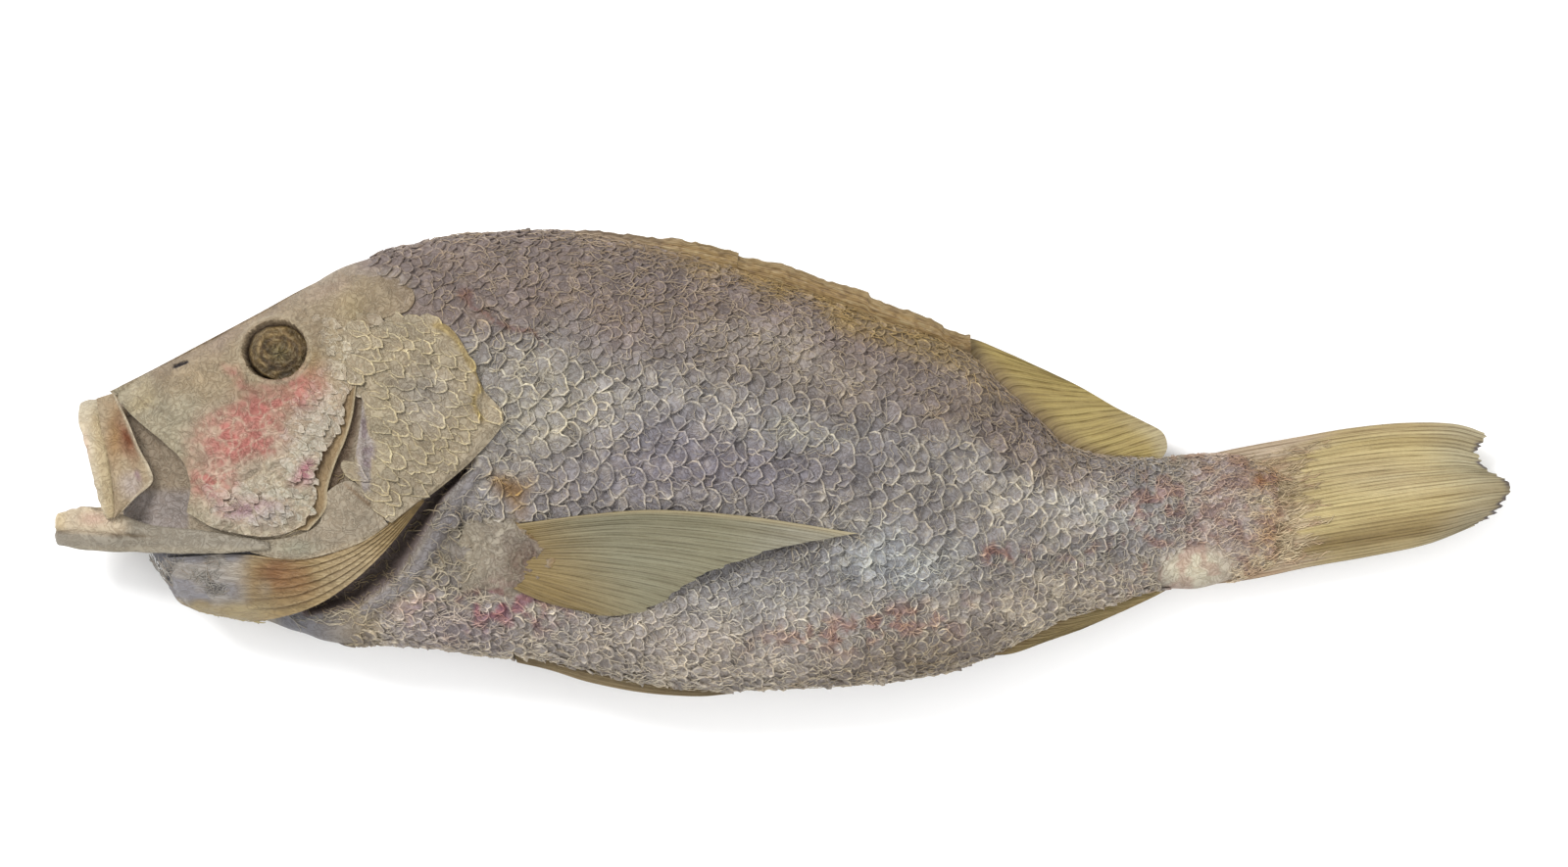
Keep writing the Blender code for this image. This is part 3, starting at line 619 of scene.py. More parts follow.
def seat_rows(along, around, x_from, x_to, wanted, seed, wobble=0.16):
    """Staggered seats round the trunk, `along` and `around` apart, kept where wanted(points) says."""
    rng = np.random.default_rng(seed)
    found, outwards = [], []
    x, column = x_from, 0
    turn = np.linspace(0, 2 * math.pi, 600)
    while x < x_to:
        ring = smooth_skin(np.full(600, x), turn)
        reach = np.concatenate([[0], np.cumsum(np.linalg.norm(np.diff(ring, axis=0), axis=1))])
        count = max(int(reach[-1] / around(x)), 4)
        place = (np.arange(count) + 0.5 * (column % 2) + rng.uniform(-wobble, wobble, count)) / count
        angle = np.interp(place % 1 * reach[-1], reach, turn)
        points, outward = skin_and_outward(x + rng.uniform(-wobble, wobble, count) * along(x), angle)
        keep = wanted(points, outward)
        found.append(points[keep])
        outwards.append(outward[keep])
        x += along(x)
        column += 1
    return np.concatenate(found), np.concatenate(outwards)


BACK_BORDER = [(-130, 40), (-110, 41), (-95, 45), (-80, 40), (-67, 31), (-50, 29), (-20, 27), (20, 19),
               (45, 12), (70, 2), (100, -6), (130, -12)]
BELLY_BORDER = [(-130, -20), (-100, -12), (-78, -15), (20, -21), (60, -27), (100, -29), (130, -30)]


def bare(points):
    """Where no body scales grow: the head, the gill slit and the root of the breast fin."""
    x, y = points[:, 0], points[:, 1]
    under_fin = spot(x, y, (-79, -27), (17, 12.5), 0, 0.01) > 0
    ahead = x < np.interp(y, [-56, -44, -33, -20, -3, 12, 30, 40, 48, 56, 66],
                          [-132, -117, -104, -96, -89, -82, -88, -99, -104, -116, -124])
    pale_bump = spot(x, y, (119, -31), (12.5, 7), 5, 0.01) > 0
    slit = stroke(x, y, [(a, b, w * 1.25) for a, b, w in GILL_SLIT], 0.01) > 0
    return ahead | slit | under_fin | pale_bump


def scale_tone(where, rim, lot):
    """Pale curled rims round darker, glassy middles."""
    x, y = where[:, 0], where[:, 1]
    tone = flesh_tone(x, y)
    grey = tone.mean(axis=1, keepdims=True)
    middle = (tone * 0.73 + (grey - tone) * 0.1) * np.array((0.98, 0.98, 1.04)) * (0.82 + 0.36 * lot[:, None])
    on_flank_share = smooth_step(-6, 3, value_at(BACK_BORDER, x) - y) * smooth_step(122, 84, x)
    pale = tone * (1.35 + 0.3 * on_flank_share)[:, None] + (0.5 + 0.5 * on_flank_share)[:, None] * np.array((0.15, 0.125, 0.02))
    crust = 0.35 * np.exp(-(wander(x, y, 3.1, 26) / 0.14) ** 2) * smooth_step(-0.4, 0.3, wander(x, y, 12, 27))
    whole = 0.4 + 0.6 * smooth_step(-0.35, 0.35, wander(x, y, 1.6, 28) + 0.7 * wander(x, y, 8, 29))
    share = smooth_step(0.1, 0.95, rim) * (0.55 + 0.45 * lot) * whole
    return middle + (pale - middle) * np.clip(share + crust, 0, 1)[:, None]


SCALE_TILT = 0.11
scale_kinds = kinds_of("scale_kinds", [curled_scale(f"scale_{k}", 40 + k, 0.75 + 0.12 * k, 0.05 + 0.04 * k)
                                       for k in range(6)])
SCALE_FINISH = dried_finish("dried_scale", 0.24, 0.6, 0.4, 0.42, -0.06)

FIN_REST = [(-76, -27, 9.5), (-57, -29, 14), (-30, -26, 11.5), (-5, -21, 6), (20, -20, 2)]

for side, sign in (("left", 1), ("right", -1)):
    def on_side(outward):
        return outward[:, 2] * sign > -0.02 if sign > 0 else outward[:, 2] < -0.02

    def pressed_by_fin(points):
        return (sign < 0) & (stroke(points[:, 0], points[:, 1], FIN_REST, 0.01) > 0)

    def on_flank(points, outward):
        y, x = points[:, 1], points[:, 0]
        return (on_side(outward) & (y < value_at(BACK_BORDER, x)) & (y > value_at(BELLY_BORDER, x)) & ~bare(points)
                & ~pressed_by_fin(points))

    def on_back(points, outward):
        return on_side(outward) & (points[:, 1] >= value_at(BACK_BORDER, points[:, 0])) & ~bare(points)

    def on_belly(points, outward):
        return (on_side(outward) & (points[:, 1] <= value_at(BELLY_BORDER, points[:, 0])) & ~bare(points)
                & ~pressed_by_fin(points))

    for place, wanted, along, around, high, disorder, seed in (
            ("flank", on_flank, lambda x: 4.3 - 1.9 * smooth_step(50, 125, x),
             lambda x: 5.3 - 2.6 * smooth_step(50, 125, x), 0.95, 0.14, 1),
            ("back", on_back, lambda x: 3.0 - 0.5 * smooth_step(60, 120, x),
             lambda x: 3.2 - 0.5 * smooth_step(60, 120, x), 0.6, 0.18, 2),
            ("belly", on_belly, lambda x: 3.1 - 0.5 * smooth_step(60, 120, x),
             lambda x: 3.6 - 0.8 * smooth_step(60, 120, x), 0.75, 0.2, 3)):
        points, outward = seat_rows(along, around, -138, 141, wanted, seed)
        length, width = along(points[:, 0]) * 0.80, around(points[:, 0]) * 0.64
        tall = high * (1 if sign > 0 else 0.5) * (1 - 0.6 * smooth_step(105, 138, points[:, 0]))
        sizes = np.stack([length, width, tall], axis=1)
        rearward = np.tile((1.0, 0.0, 0.0), (len(points), 1))
        grow(f"scales_{place}_{side}", points + outward * 0.1, unit(outward - SCALE_TILT * rearward), rearward, sizes,
             scale_kinds, disorder, 0.16, seed * 7 + (sign > 0), SCALE_FINISH, scale_tone)


# ---------------------------------------------------------------- snout and cheek
# Thin skull bone under tight bare skin, one on each side: smooth on the snout, finely scaled on the
# cheek. Its front edge stands over the mouth skin, its rear margin has dried ragged, and the eye
# sits in a deep round pit in it.

PLATE = 1.2
CHEEK_BROW = [(-193, 20.5), (-183, 25.4), (-168, 33.4), (-151, 42.4), (-137, 50), (-127, 54.2), (-118, 57.4)]
CHEEK_REAR = [(-118, 57.4), (-109.5, 53.6), (-104.8, 48), (-106.5, 43.4), (-113, 41), (-119, 37), (-120.6, 30),
              (-121.4, 22.5), (-124, 16), (-126, 11), (-130.5, 1.5), (-133.6, -6), (-133, -12.5), (-135.5, -17.2)]
CHEEK_FRONT = [(-193, 20.5), (-184, 12), (-176, 5.6), (-170.4, 0), (-168.4, -7), (-169.6, -14)]
CHEEK_FOOT = [(-169.6, -14), (-160, -18.8), (-148, -20.6), (-141, -19.8), (-135.5, -17.2)]
EYE_PIT = (9.3, 8.3)


def even_path(points, count):
    """The smooth curve through the points, as count points evenly spaced along it."""
    pts = np.array(points, float)
    ends = np.concatenate([[2 * pts[0] - pts[1]], pts, [2 * pts[-1] - pts[-2]]])
    t = np.linspace(0, 1, 16, endpoint=False)[:, None]
    runs = [0.5 * (2 * b + (c - a) * t + (2 * a - 5 * b + 4 * c - d) * t ** 2 + (3 * b - a - 3 * c + d) * t ** 3)
            for a, b, c, d in zip(ends, ends[1:], ends[2:], ends[3:])]
    path = np.concatenate(runs + [pts[-1:]])
    reach = np.concatenate([[0], np.cumsum(np.linalg.norm(np.diff(path, axis=0), axis=1))])
    want = np.linspace(0, reach[-1], count)
    return np.stack([np.interp(want, reach, path[:, k]) for k in range(path.shape[1])], axis=1)


def patch(base, tip, start=None, end=None, rows=20, columns=40):
    """A grid filling four edges, base to tip, and how far along (u) and up (v) each point is."""
    low, high = even_path(base, columns), even_path(tip, columns)
    first = even_path(start or [low[0], high[0]], rows)
    last = even_path(end or [low[-1], high[-1]], rows)
    v, u = np.meshgrid(np.linspace(0, 1, rows), np.linspace(0, 1, columns), indexing="ij")
    vv, uu = v[..., None], u[..., None]
    grid = (low[None] * (1 - vv) + high[None] * vv + first[:, None] * (1 - uu) + last[:, None] * uu
            - (low[0] * (1 - uu) + low[-1] * uu) * (1 - vv) - (high[0] * (1 - uu) + high[-1] * uu) * vv)
    return grid, u, v


def ragged(grid, u, v, amount, seed, start=0.72, rows_from=None):
    """Frays a patch's far edge: it ends sooner here and later there."""
    fray = amount * (0.6 * wander(u * 60, u * 0, 2.2, seed) + 0.4 * wander(u * 60, u * 0, 0.9, seed + 1))
    pull = smooth_step(start, 1, v)[..., None]
    direction = unit(grid[-1] - grid[-2])[None]
    return grid + direction * pull * fray[..., None]


def flank_height(x, y, left):
    back, belly, high, low, middle = section_at(x)
    across = np.minimum(np.abs(y - (back + belly) / 2) / ((back - belly) / 2), 0.985)
    full = (1 - across ** SECTION_POWER) ** (1 / SECTION_POWER)
    if left:
        return middle + (high - middle) * full
    return np.maximum(low, middle - RESTING_FLATNESS * (middle - low) * full)


def off_skin(x, y, left, distance):
    """Points at a distance straight out from a flank's smooth form, and the outward directions."""
    step = 0.5
    z = flank_height(x, y, left)
    rise_x = (flank_height(x + step, y, left) - flank_height(x - step, y, left)) / (2 * step)
    rise_y = (flank_height(x, y + step, left) - flank_height(x, y - step, left)) / (2 * step)
    outward = unit(np.stack([-rise_x, -rise_y, np.ones_like(z)], axis=-1)) * (1 if left else -1)
    return np.stack([x, y, z], axis=-1) + outward * np.asarray(distance)[..., None], outward


def closed_sheet(upper, lower):
    """Points and faces of a thin closed piece from its outer and inner surfaces."""
    rows, columns = upper.shape[:2]
    points = np.concatenate([upper.reshape(-1, 3), lower.reshape(-1, 3)])
    top = np.arange(rows * columns).reshape(rows, columns)
    under = top + rows * columns
    quads = lambda g: np.stack([g[:-1, :-1], g[:-1, 1:], g[1:, 1:], g[1:, :-1]], axis=-1).reshape(-1, 4)
    rim = np.concatenate([top[0, :-1], top[:-1, -1], top[-1, :0:-1], top[:0:-1, 0]])
    low = rim + rows * columns
    walls = np.stack([rim, low, np.roll(low, -1), np.roll(rim, -1)], axis=-1)
    faces = np.concatenate([quads(top), quads(under)[:, ::-1], walls])
    a, b, c = upper[0, 0], upper[0, 1], upper[1, 0]
    if np.cross(b - a, c - a) @ (a - lower[0, 0]) < 0:
        faces = faces[:, ::-1]
    return points, faces.tolist()


def plate(name, grid, left, lift, thickness, tone, finish, slot, *nodes, sharp=50):
    """A thin plate that follows a flank at the given lift, closed all round."""
    x, y = grid[..., 0], grid[..., 1]
    upper, outward = off_skin(x, y, left, lift)
    lower = upper - outward * np.asarray(thickness)[..., None] if np.ndim(thickness) else upper - outward * thickness
    points, faces = closed_sheet(upper, lower)
    # the inner face is painted a quarter darker than the outer: painted shade on the face turned to the body
    both = np.concatenate([tone.reshape(-1, 3), tone.reshape(-1, 3) * 0.75])
    if not left:
        points[:, 2] = np.maximum(points[:, 2], 0.0)
    return finished(name, points, faces, both, finish, slot, *nodes, sharp=sharp)


def dried_net(x, y):
    """The fine raised net that the drying skin of the cheek has drawn up into: 1 on its threads."""
    threads = [np.exp(-(wander(x + 0.4 * y, y - 0.4 * x, size, seed) / width) ** 2) for size, width, seed in
               ((3.4, 0.11, 44), (2.3, 0.13, 45))]
    return np.clip(threads[0] + 0.75 * threads[1], 0, 1)


def cheek_tone(x, y):
    wx, wy = x + 2 * wander(x, y, 6, 30), y + 2 * wander(x, y, 6, 31)
    tone = np.zeros(x.shape + (3,)) + np.array(SNOUT_TAN)
    back = value_at(BACK_LINE, x)
    # darker near the back line: partly the skin's own brown, partly painted shade where the head rounds over
    tone = tint(tone, (0.32, 0.245, 0.185), 0.5 * smooth_step(8, 1, back - y) * smooth_step(-195, -175, x))
    tone = tint(tone, (0.46, 0.37, 0.24), 0.5 * spot(wx, wy, (-172, 18), (14, 7), 35))
    tone = tint(tone, (0.51, 0.43, 0.33), 0.7 * spot(wx, wy, (-131, 48), (17, 9), 30))
    tone = tint(tone, (0.50, 0.46, 0.36), smooth_step(19, 10, wy + 0.25 * (wx + 150)))
    tone = tint(tone, (0.58, 0.52, 0.42), 0.9 * spot(wx, wy, (-131, 12), (13, 17), -20))
    tone = tint(tone, (0.59, 0.52, 0.39), 0.8 * spot(wx, wy, (-124, 32), (10, 14)))
    tone = tint(tone, (0.42, 0.31, 0.16), 0.8 * spot(wx, wy, (-134.5, 28), (4, 9), -12))
    streak = 0.58 + 0.42 * smooth_step(-0.5, 0.2, wander(x * 0.9 + y * 0.5, y - x * 0.45, 2.4, 32))
    streak = streak * (1 - 0.42 * dried_net(x, y))
    for middle, radii, lean, share in (((-148, 15), (24, 10), 20, 1.0), ((-157, 6), (17, 14), 10, 1.0),
                                       ((-162, -5), (13, 11), 0, 1.0), ((-151, 5), (18, 8), 20, 0.95),
                                       ((-136, 21), (11, 8), 35, 0.9), ((-154, 24), (9, 4), -35, 0.7)):
        tone = tint(tone, PINK, share * streak * spot(wx, wy, middle, radii, lean))
    tone = tint(tone, (0.43, 0.25, 0.28), 0.9 * spot(wx, wy, (-152, -13), (15, 5.5)))
    tone = tint(tone, (0.42, 0.14, 0.19), 0.9 * spot(wx, wy, (-135.5, -2), (6, 4), 40))
    tone = tint(tone, (0.46, 0.41, 0.38), 0.7 * spot(wx, wy, (-146, -16), (14, 4)))
    tone = tint(tone, (0.62, 0.56, 0.44), 0.6 * spot(wx, wy, (-146, -5), (11, 4.2), 12))
    netted = smooth_step(22, 14, y - 0.3 * (x + 150)) * smooth_step(-170, -162, x)
    tone = tint(tone, (0.74, 0.61, 0.51), 0.44 * netted * dried_net(x, y))
    tone = tint(tone, (0.40, 0.29, 0.27), 0.35 * spot(wx, wy, (-128, 50), (12, 5), 25) + 0.3 * spot(wx, wy, (-160, 33), (10, 4), 28))
    tone = tint(tone, (0.47, 0.39, 0.22), 0.6 * spot(wx, wy, (-183, 18), (9, 4), 20) + 0.5 * spot(wx, wy, (-122, 44), (7, 5)))
    speck = smooth_step(0.55, 0.8, wander(x, y, 1.1, 34)) * smooth_step(0.1, 0.5, wander(x, y, 9, 35))
    tone = tint(tone, (0.20, 0.15, 0.10), 0.5 * speck * smooth_step(10, 20, y))
    # the nostril: a black slit over a shallow dip, painted shade for the opening
    tone = tint(tone, (0.02, 0.01, 0.01), stroke(x, y, [(-173.4, 26.9, 0.8), (-170, 28.2, 0.7)], 0.4))
    for line in ([(-184, 18.5, 0.3), (-181, 16, 0.5), (-176, 14.3, 0.3)], [(-166, 28, 0.3), (-160, 27.3, 0.5)]):
        tone = tint(tone, (0.24, 0.18, 0.12), 0.6 * stroke(x, y, line, 0.9))
    return tone


HEAD_FINISH = dried_finish("head_bone_skin", 0.22, 1.0, 0.34, 0.45, -0.1)

cheek_grid, cheek_u, cheek_v = patch(CHEEK_BROW, CHEEK_FOOT, CHEEK_FRONT, CHEEK_REAR, rows=165, columns=165)
cheek_x, cheek_y = cheek_grid[..., 0], cheek_grid[..., 1]
fray = 1.3 * wander(cheek_x, cheek_y, 3.2, 36) + 0.4 * wander(cheek_x, cheek_y, 1.3, 37)
cheek_grid = cheek_grid + (smooth_step(0.9, 1, cheek_u) * smooth_step(30, 16, cheek_y) * fray)[..., None] * (0.9, -0.4)
cheek_x, cheek_y = cheek_grid[..., 0], cheek_grid[..., 1]
cheek_lift = 1.7 - 0.6 * smooth_step(-128, -120, cheek_x) * smooth_step(44, 30, cheek_y) * smooth_step(18, 24, cheek_y)
cheek_lift -= 1.1 * smooth_step(0.12, 0, cheek_v) * smooth_step(0.1, 0.3, cheek_u)
eye_away = np.hypot((cheek_x - EYE[0]) / EYE_PIT[0], (cheek_y - EYE[1]) / EYE_PIT[1])
cheek_lift -= 5.2 * smooth_step(1.0, 0.955, eye_away) - 0.3 * np.exp(-((eye_away - 1.1) / 0.09) ** 2)
cheek_lift -= 1.5 * smooth_step(0.88, 1.0, cheek_u) * smooth_step(38, 44, cheek_y)
scaly = smooth_step(-140, -128, cheek_x) + smooth_step(20, 8, cheek_y)
cheek_lift += np.clip(scaly, 0, 1) * (0.28 * wander(cheek_x, cheek_y, 2.6, 38) + 0.16 * wander(cheek_x, cheek_y, 1.2, 39))
cheek_lift += 0.5 * wander(cheek_x * 0.5 + cheek_y * 0.4, cheek_y, 3.4, 40) * smooth_step(8, -4, cheek_y)
cheek_lift += 0.25 * wander(cheek_x, cheek_y, 12, 41)
netted = smooth_step(20, 12, cheek_y - 0.3 * (cheek_x + 150)) * smooth_step(-170, -162, cheek_x)
cheek_lift += 0.24 * netted * dried_net(cheek_x, cheek_y)
crust = (1 - np.abs(wander(0.4 * (cheek_x * 0.86 + cheek_y * 0.5), cheek_y * 0.86 - cheek_x * 0.5, 1.7, 46))) ** 3
crusty = smooth_step(6, -4, cheek_y - 0.5 * (cheek_x + 150)) * smooth_step(-168, -160, cheek_x)
cheek_lift += 0.55 * crusty * crust
cheek_lift -= 0.7 * stroke(cheek_x, cheek_y, [(-173.4, 26.9, 0.7), (-170, 28.2, 0.6)], 0.9)
for line in ([(-172, 3, 0.9), (-160, -3, 1.2), (-146, -5, 1.0)], [(-166, -9, 0.8), (-150, -10, 1.2), (-138, -6, 0.8)]):
    cheek_lift -= 0.45 * stroke(cheek_x, cheek_y, line, 0.95)
cheek_paint = cheek_tone(cheek_x, cheek_y) * (np.array((0.65, 0.61, 0.53)) + netted[..., None] * np.array((0.09, 0.075, 0.085)))
# darker along the upper rear rim, where the plate dips down to the skin: brown crust and painted shade
cheek_paint = tint(cheek_paint, (0.22, 0.17, 0.13), 0.55 * smooth_step(0.9, 1.0, cheek_u) * smooth_step(36, 44, cheek_y))
cheek_paint *= (1 + 0.10 * wander(cheek_x, cheek_y, 7, 42) + 0.06 * wander(cheek_x, cheek_y, 2.5, 43))[..., None]
cheek_paint = tint(cheek_paint, (0.22, 0.16, 0.09), 0.6 * smooth_step(0.97, 1.0, cheek_u) * smooth_step(20, 30, cheek_y))
cheek_paint = tint(cheek_paint, (0.48, 0.43, 0.34), 0.5 * crusty * smooth_step(0.3, 0.8, crust))
cheek_paint = tint(cheek_paint, (0.20, 0.16, 0.12), 0.45 * crusty * smooth_step(0.25, 0.05, crust))
# the walls of the eye pit painted near black: painted shade in the pit
cheek_paint = tint(cheek_paint, (0.07, 0.035, 0.015), smooth_step(1.0, 0.97, eye_away))
cheek_paint = tint(cheek_paint, (0.36, 0.30, 0.20), 0.5 * np.exp(-((eye_away - 1.13) / 0.07) ** 2))
for side in ("left", "right"):
    plate(f"snout_and_cheek_{side}", cheek_grid, side == "left", cheek_lift, PLATE, cheek_paint, HEAD_FINISH,
          "head_plate", f"cheek_{side}")


# ---------------------------------------------------------------- cheek margin
# The bare bony margin behind the cheek skin: a tan, smooth lip that stands over the groove
# in front of the gill cover.

MARGIN_INNER = [(-124.5, 24), (-128, 15), (-133, 4), (-137, -6), (-138.5, -12), (-141, -16), (-147, -18.6)]
MARGIN_OUTER = [(-120.8, 22), (-121.8, 14), (-123.8, 7), (-126.8, 0), (-129, -7), (-129.6, -13), (-134.6, -19)]
MARGIN_FINISH = dried_finish("margin_bone", 0.14, 1.6, 0.3, 0.3, -0.1, (1.6, 0.6, 1))

margin_grid, margin_u, margin_v = patch(MARGIN_INNER, MARGIN_OUTER, rows=22, columns=90)
margin_x, margin_y = margin_grid[..., 0], margin_grid[..., 1]
# darker towards the front side, which lies low under the cheek plate's rear edge: painted shade
margin_paint = tint(np.zeros(margin_x.shape + (3,)) + (0.26, 0.18, 0.09), (0.12, 0.07, 0.03),
                    smooth_step(0.75, 0.35, margin_v))
margin_paint = tint(margin_paint, (0.36, 0.29, 0.18), smooth_step(0.86, 0.98, margin_v))
for side in ("left", "right"):
    plate(f"cheek_margin_{side}", margin_grid, side == "left",
          0.75 + 0.75 * smooth_step(0.6, 1, margin_v) + 0.12 * wander(margin_u * 60, margin_v * 10, 4, 50), 0.9,
          margin_paint, MARGIN_FINISH, "head_plate")


# ---------------------------------------------------------------- eyes
# Dried eyeballs, sunk and shrunken: a wrinkled olive-brown disc, with painted shade, near black, in the ring round it.

LENS_PLACE = (0.8, -0.4)
LENS_RADIUS = 8.15
EYE_FINISH = dried_finish("eye_lens", 0.25, 1.1, 0.5, 0.6, -0.22)

for side in ("left", "right"):
    left = side == "left"
    turn, out = np.meshgrid(np.linspace(0, 2 * math.pi, 96, endpoint=False), np.linspace(0.02, 1, 40), indexing="xy")
    wrinkled = 1 + 0.05 * wander(np.cos(turn) * 9, np.sin(turn) * 9, 3, 60)
    x = EYE[0] + LENS_PLACE[0] + (LENS_RADIUS + 1.0) * out * np.cos(turn) * wrinkled
    y = EYE[1] + LENS_PLACE[1] + LENS_RADIUS * out * np.sin(turn) * wrinkled
    disc = smooth_step(0.97, 0.89, out)
    folds = wander(np.cos(turn) * 4 + out * 2, np.sin(turn) * 4 - out * 9, 1.3, 61)
    ring = np.exp(-((out - 0.66) / 0.07) ** 2) + 0.6 * np.exp(-((out - 0.45) / 0.05) ** 2)
    lift = -1.7 + 0.9 * disc * (1 - 0.5 * out ** 2) + disc * (0.45 * folds + 0.4 * ring) - 1.2 * smooth_step(0.92, 1, out)
    centre, outward = off_skin(np.array([EYE[0]]), np.array([EYE[1]]), left, np.array([0.0]))
    upper = np.stack([x, y, centre[0, 2] + (1 if left else -1) * lift + (x - EYE[0]) * 0.06 - (y - EYE[1]) * 0.22
                      * (1 if left else -1)], axis=-1)
    tone = np.zeros(x.shape + (3,)) + (0.13, 0.085, 0.032)
    tone = tint(tone, (0.20, 0.155, 0.065), 0.8 * smooth_step(0.45, 0.1, out))
    tone = tint(tone, (0.25, 0.17, 0.07), 0.8 * ring)
    tone = tint(tone, (0.09, 0.055, 0.025), 0.8 * np.exp(-((out - 0.55) / 0.06) ** 2))
    tone = tint(tone, (0.30, 0.24, 0.13), 0.55 * smooth_step(0.35, 0.7, wander(x, y, 0.9, 62)) * smooth_step(0.85, 0.6, out))
    tone = tint(tone, (0.19, 0.13, 0.05), 0.8 * np.exp(-((out - 0.885) / 0.04) ** 2))
    # the gap round the disc, where it drops away, painted near black: painted shade
    tone = tint(tone, (0.05, 0.03, 0.015), smooth_step(0.95, 0.985, out))
    # lighter on the raised folds and on the upper half, darker on the lower half: painted light and shade on the disc
    tone *= (0.8 + 0.45 * folds - 0.15 * np.sin(turn) * -1)[..., None]
    count = 96
    index = np.arange(40 * count).reshape(40, count)
    faces = np.stack([index[:-1], index[1:], np.roll(index[1:], -1, 1), np.roll(index[:-1], -1, 1)], -1).reshape(-1, 4)
    faces = faces.tolist() + [index[0].tolist()]
    base = upper.reshape(-1, 3)
    deep = index[-1] + 0
    points = np.concatenate([base, upper[-1] - np.array((0, 0, 1.5 if left else -1.5))])
    low = 40 * count + np.arange(count)
    faces += np.stack([deep, low, np.roll(low, -1), np.roll(deep, -1)], -1).tolist() + [low[::-1].tolist()]
    if not left:
        faces = [f[::-1] for f in faces]
    tones = np.concatenate([tone.reshape(-1, 3), tone[-1]])
    finished(f"dried_eye_{side}", points, faces, tones, EYE_FINISH, "eye_lens", f"eye_{side}")


# ---------------------------------------------------------------- gill covers
# The broad rear plate of each gill cover, scaled all over, with a yellow bony rim behind the top
# and a smooth skin flap past it, and the small lower cover that hangs under the cheek.

COVER_FRONT = [(-119, 39), (-118.8, 28), (-119.4, 14), (-121, 2), (-121.8, -4), (-116.5, -9.5), (-112.4, -16)]
COVER_TOP = [(-119, 39), (-112, 41.5), (-102, 41)]
COVER_REAR = [(-102, 41), (-94.6, 38.6), (-88.6, 30), (-84.8, 21), (-79, 12.5), (-87, 1.8), (-96.6, -6.6),
              (-104.6, -12.4), (-110.6, -16.8)]
LOWER_TOP = [(-151, -21.8), (-140, -21), (-131.5, -17), (-129.8, -9), (-122.6, -5), (-116.6, -10.4), (-112.2, -16.8)]
LOWER_FOOT = [(-151.5, -25.4), (-144, -27), (-136, -27.2), (-126, -24.8), (-118, -21.6), (-111.8, -17.4)]


def cover_tone(x, y):
    wx, wy = x + 1.6 * wander(x, y, 6, 70), y + 1.6 * wander(x, y, 6, 71)
    tone = np.zeros(x.shape + (3,)) + (0.455, 0.385, 0.275)
    tone = tint(tone, (0.39, 0.355, 0.32), 0.8 * spot(wx, wy, (-101, 18), (14, 14)))
    tone = tint(tone, (0.46, 0.40, 0.28), 0.7 * spot(wx, wy, (-113, 8), (7, 22)))
    tone = tint(tone, (0.41, 0.345, 0.25), 0.7 * spot(wx, wy, (-106, -6), (16, 10), 35))
    tone = tint(tone, (0.43, 0.385, 0.385), 0.9 * stroke(wx, wy, [(-119.5, 17, 1.8), (-118.8, 0, 2.4), (-119, -6, 1.6)], 0.5))
    tone = tint(tone, (0.24, 0.17, 0.21), 0.6 * smooth_step(0.1, 0.5, wander(x, y, 2, 72))
                * stroke(wx, wy, [(-118.6, 12, 1.4), (-118, -3, 1.4)], 0.5))
    tone = tint(tone, (0.42, 0.32, 0.14), 0.85 * stroke(wx, wy, COVER_RIM, 0.6))
    tone = tint(tone, (0.40, 0.30, 0.13), 0.7 * spot(wx, wy, (-95, 38), (6, 4)))
    tone = tint(tone, (0.42, 0.36, 0.27), 0.7 * stroke(wx, wy, [(-81, 12, 2.5), (-90, 1, 3), (-103, -9, 3), (-112, -15, 2)], 0.5))
    return tone


COVER_RIM = [(-97, 38, 1.8), (-91, 34.5, 1.7), (-88, 28, 1.6), (-86, 19, 1.5), (-86.5, 13, 1.0)]
cover_grid, cover_u, cover_v = patch(COVER_FRONT, COVER_REAR, COVER_TOP, rows=96, columns=130)
cover_x, cover_y = cover_grid[..., 0], cover_grid[..., 1]
cover_lift = 1.5 + 0.3 * wander(cover_x, cover_y, 9, 73) + 0.12 * wander(cover_x, cover_y, 2.2, 74)
cover_lift += 1.1 * stroke(cover_x, cover_y, COVER_RIM, 0.95)
cover_lift -= 0.7 * stroke(cover_x, cover_y, [(-118.8, 26, 1.2), (-118.2, 10, 1.8), (-118, -4, 1.4)], 0.9)
cover_lift -= 1.2 * smooth_step(0.1, 0, cover_u) * smooth_step(32, 38, cover_y)
cover_lift -= 0.9 * smooth_step(0.93, 1, cover_v)
COVER_FINISH = dried_finish("gill_cover_skin", 0.2, 1.1, 0.36, 0.45, -0.08)
cover_paint = cover_tone(cover_x, cover_y) * np.array((0.76, 0.74, 0.69))
for side in ("left", "right"):
    plate(f"gill_cover_{side}_plate", cover_grid, side == "left", cover_lift, PLATE, cover_paint, COVER_FINISH,
          "head_plate", f"gill_cover_{side}")

lower_grid, lower_u, lower_v = patch(LOWER_TOP, LOWER_FOOT, rows=30, columns=110)
lower_x, lower_y = lower_grid[..., 0], lower_grid[..., 1]
lower_paint = np.zeros(lower_x.shape + (3,)) + (0.30, 0.25, 0.18)
lower_paint = tint(lower_paint, (0.26, 0.25, 0.18), 0.7 * spot(lower_x, lower_y, (-138, -24), (12, 4)))
# a dark brown line where the gill cover's lower edge lies over this plate: painted shade under that edge
lower_paint = tint(lower_paint, (0.20, 0.13, 0.07), 0.8 * stroke(lower_x, lower_y, [(-124, -6, .8), (-118, -11, .9), (-112, -16, .7)], 0.9))
lower_paint = tint(lower_paint, (0.40, 0.33, 0.23), smooth_step(0.86, 0.98, lower_v))
lower_lift = 1.2 + 0.35 * wander(lower_x, lower_y * 1.6, 4.5, 75) + 0.12 * wander(lower_x, lower_y, 1.4, 76) - 0.5 * smooth_step(0.85, 1, lower_v)
for side in ("left", "right"):
    plate(f"lower_cover_{side}_plate", lower_grid, side == "left", lower_lift, PLATE, lower_paint, COVER_FINISH,
          "head_plate", f"lower_gill_cover_{side}")


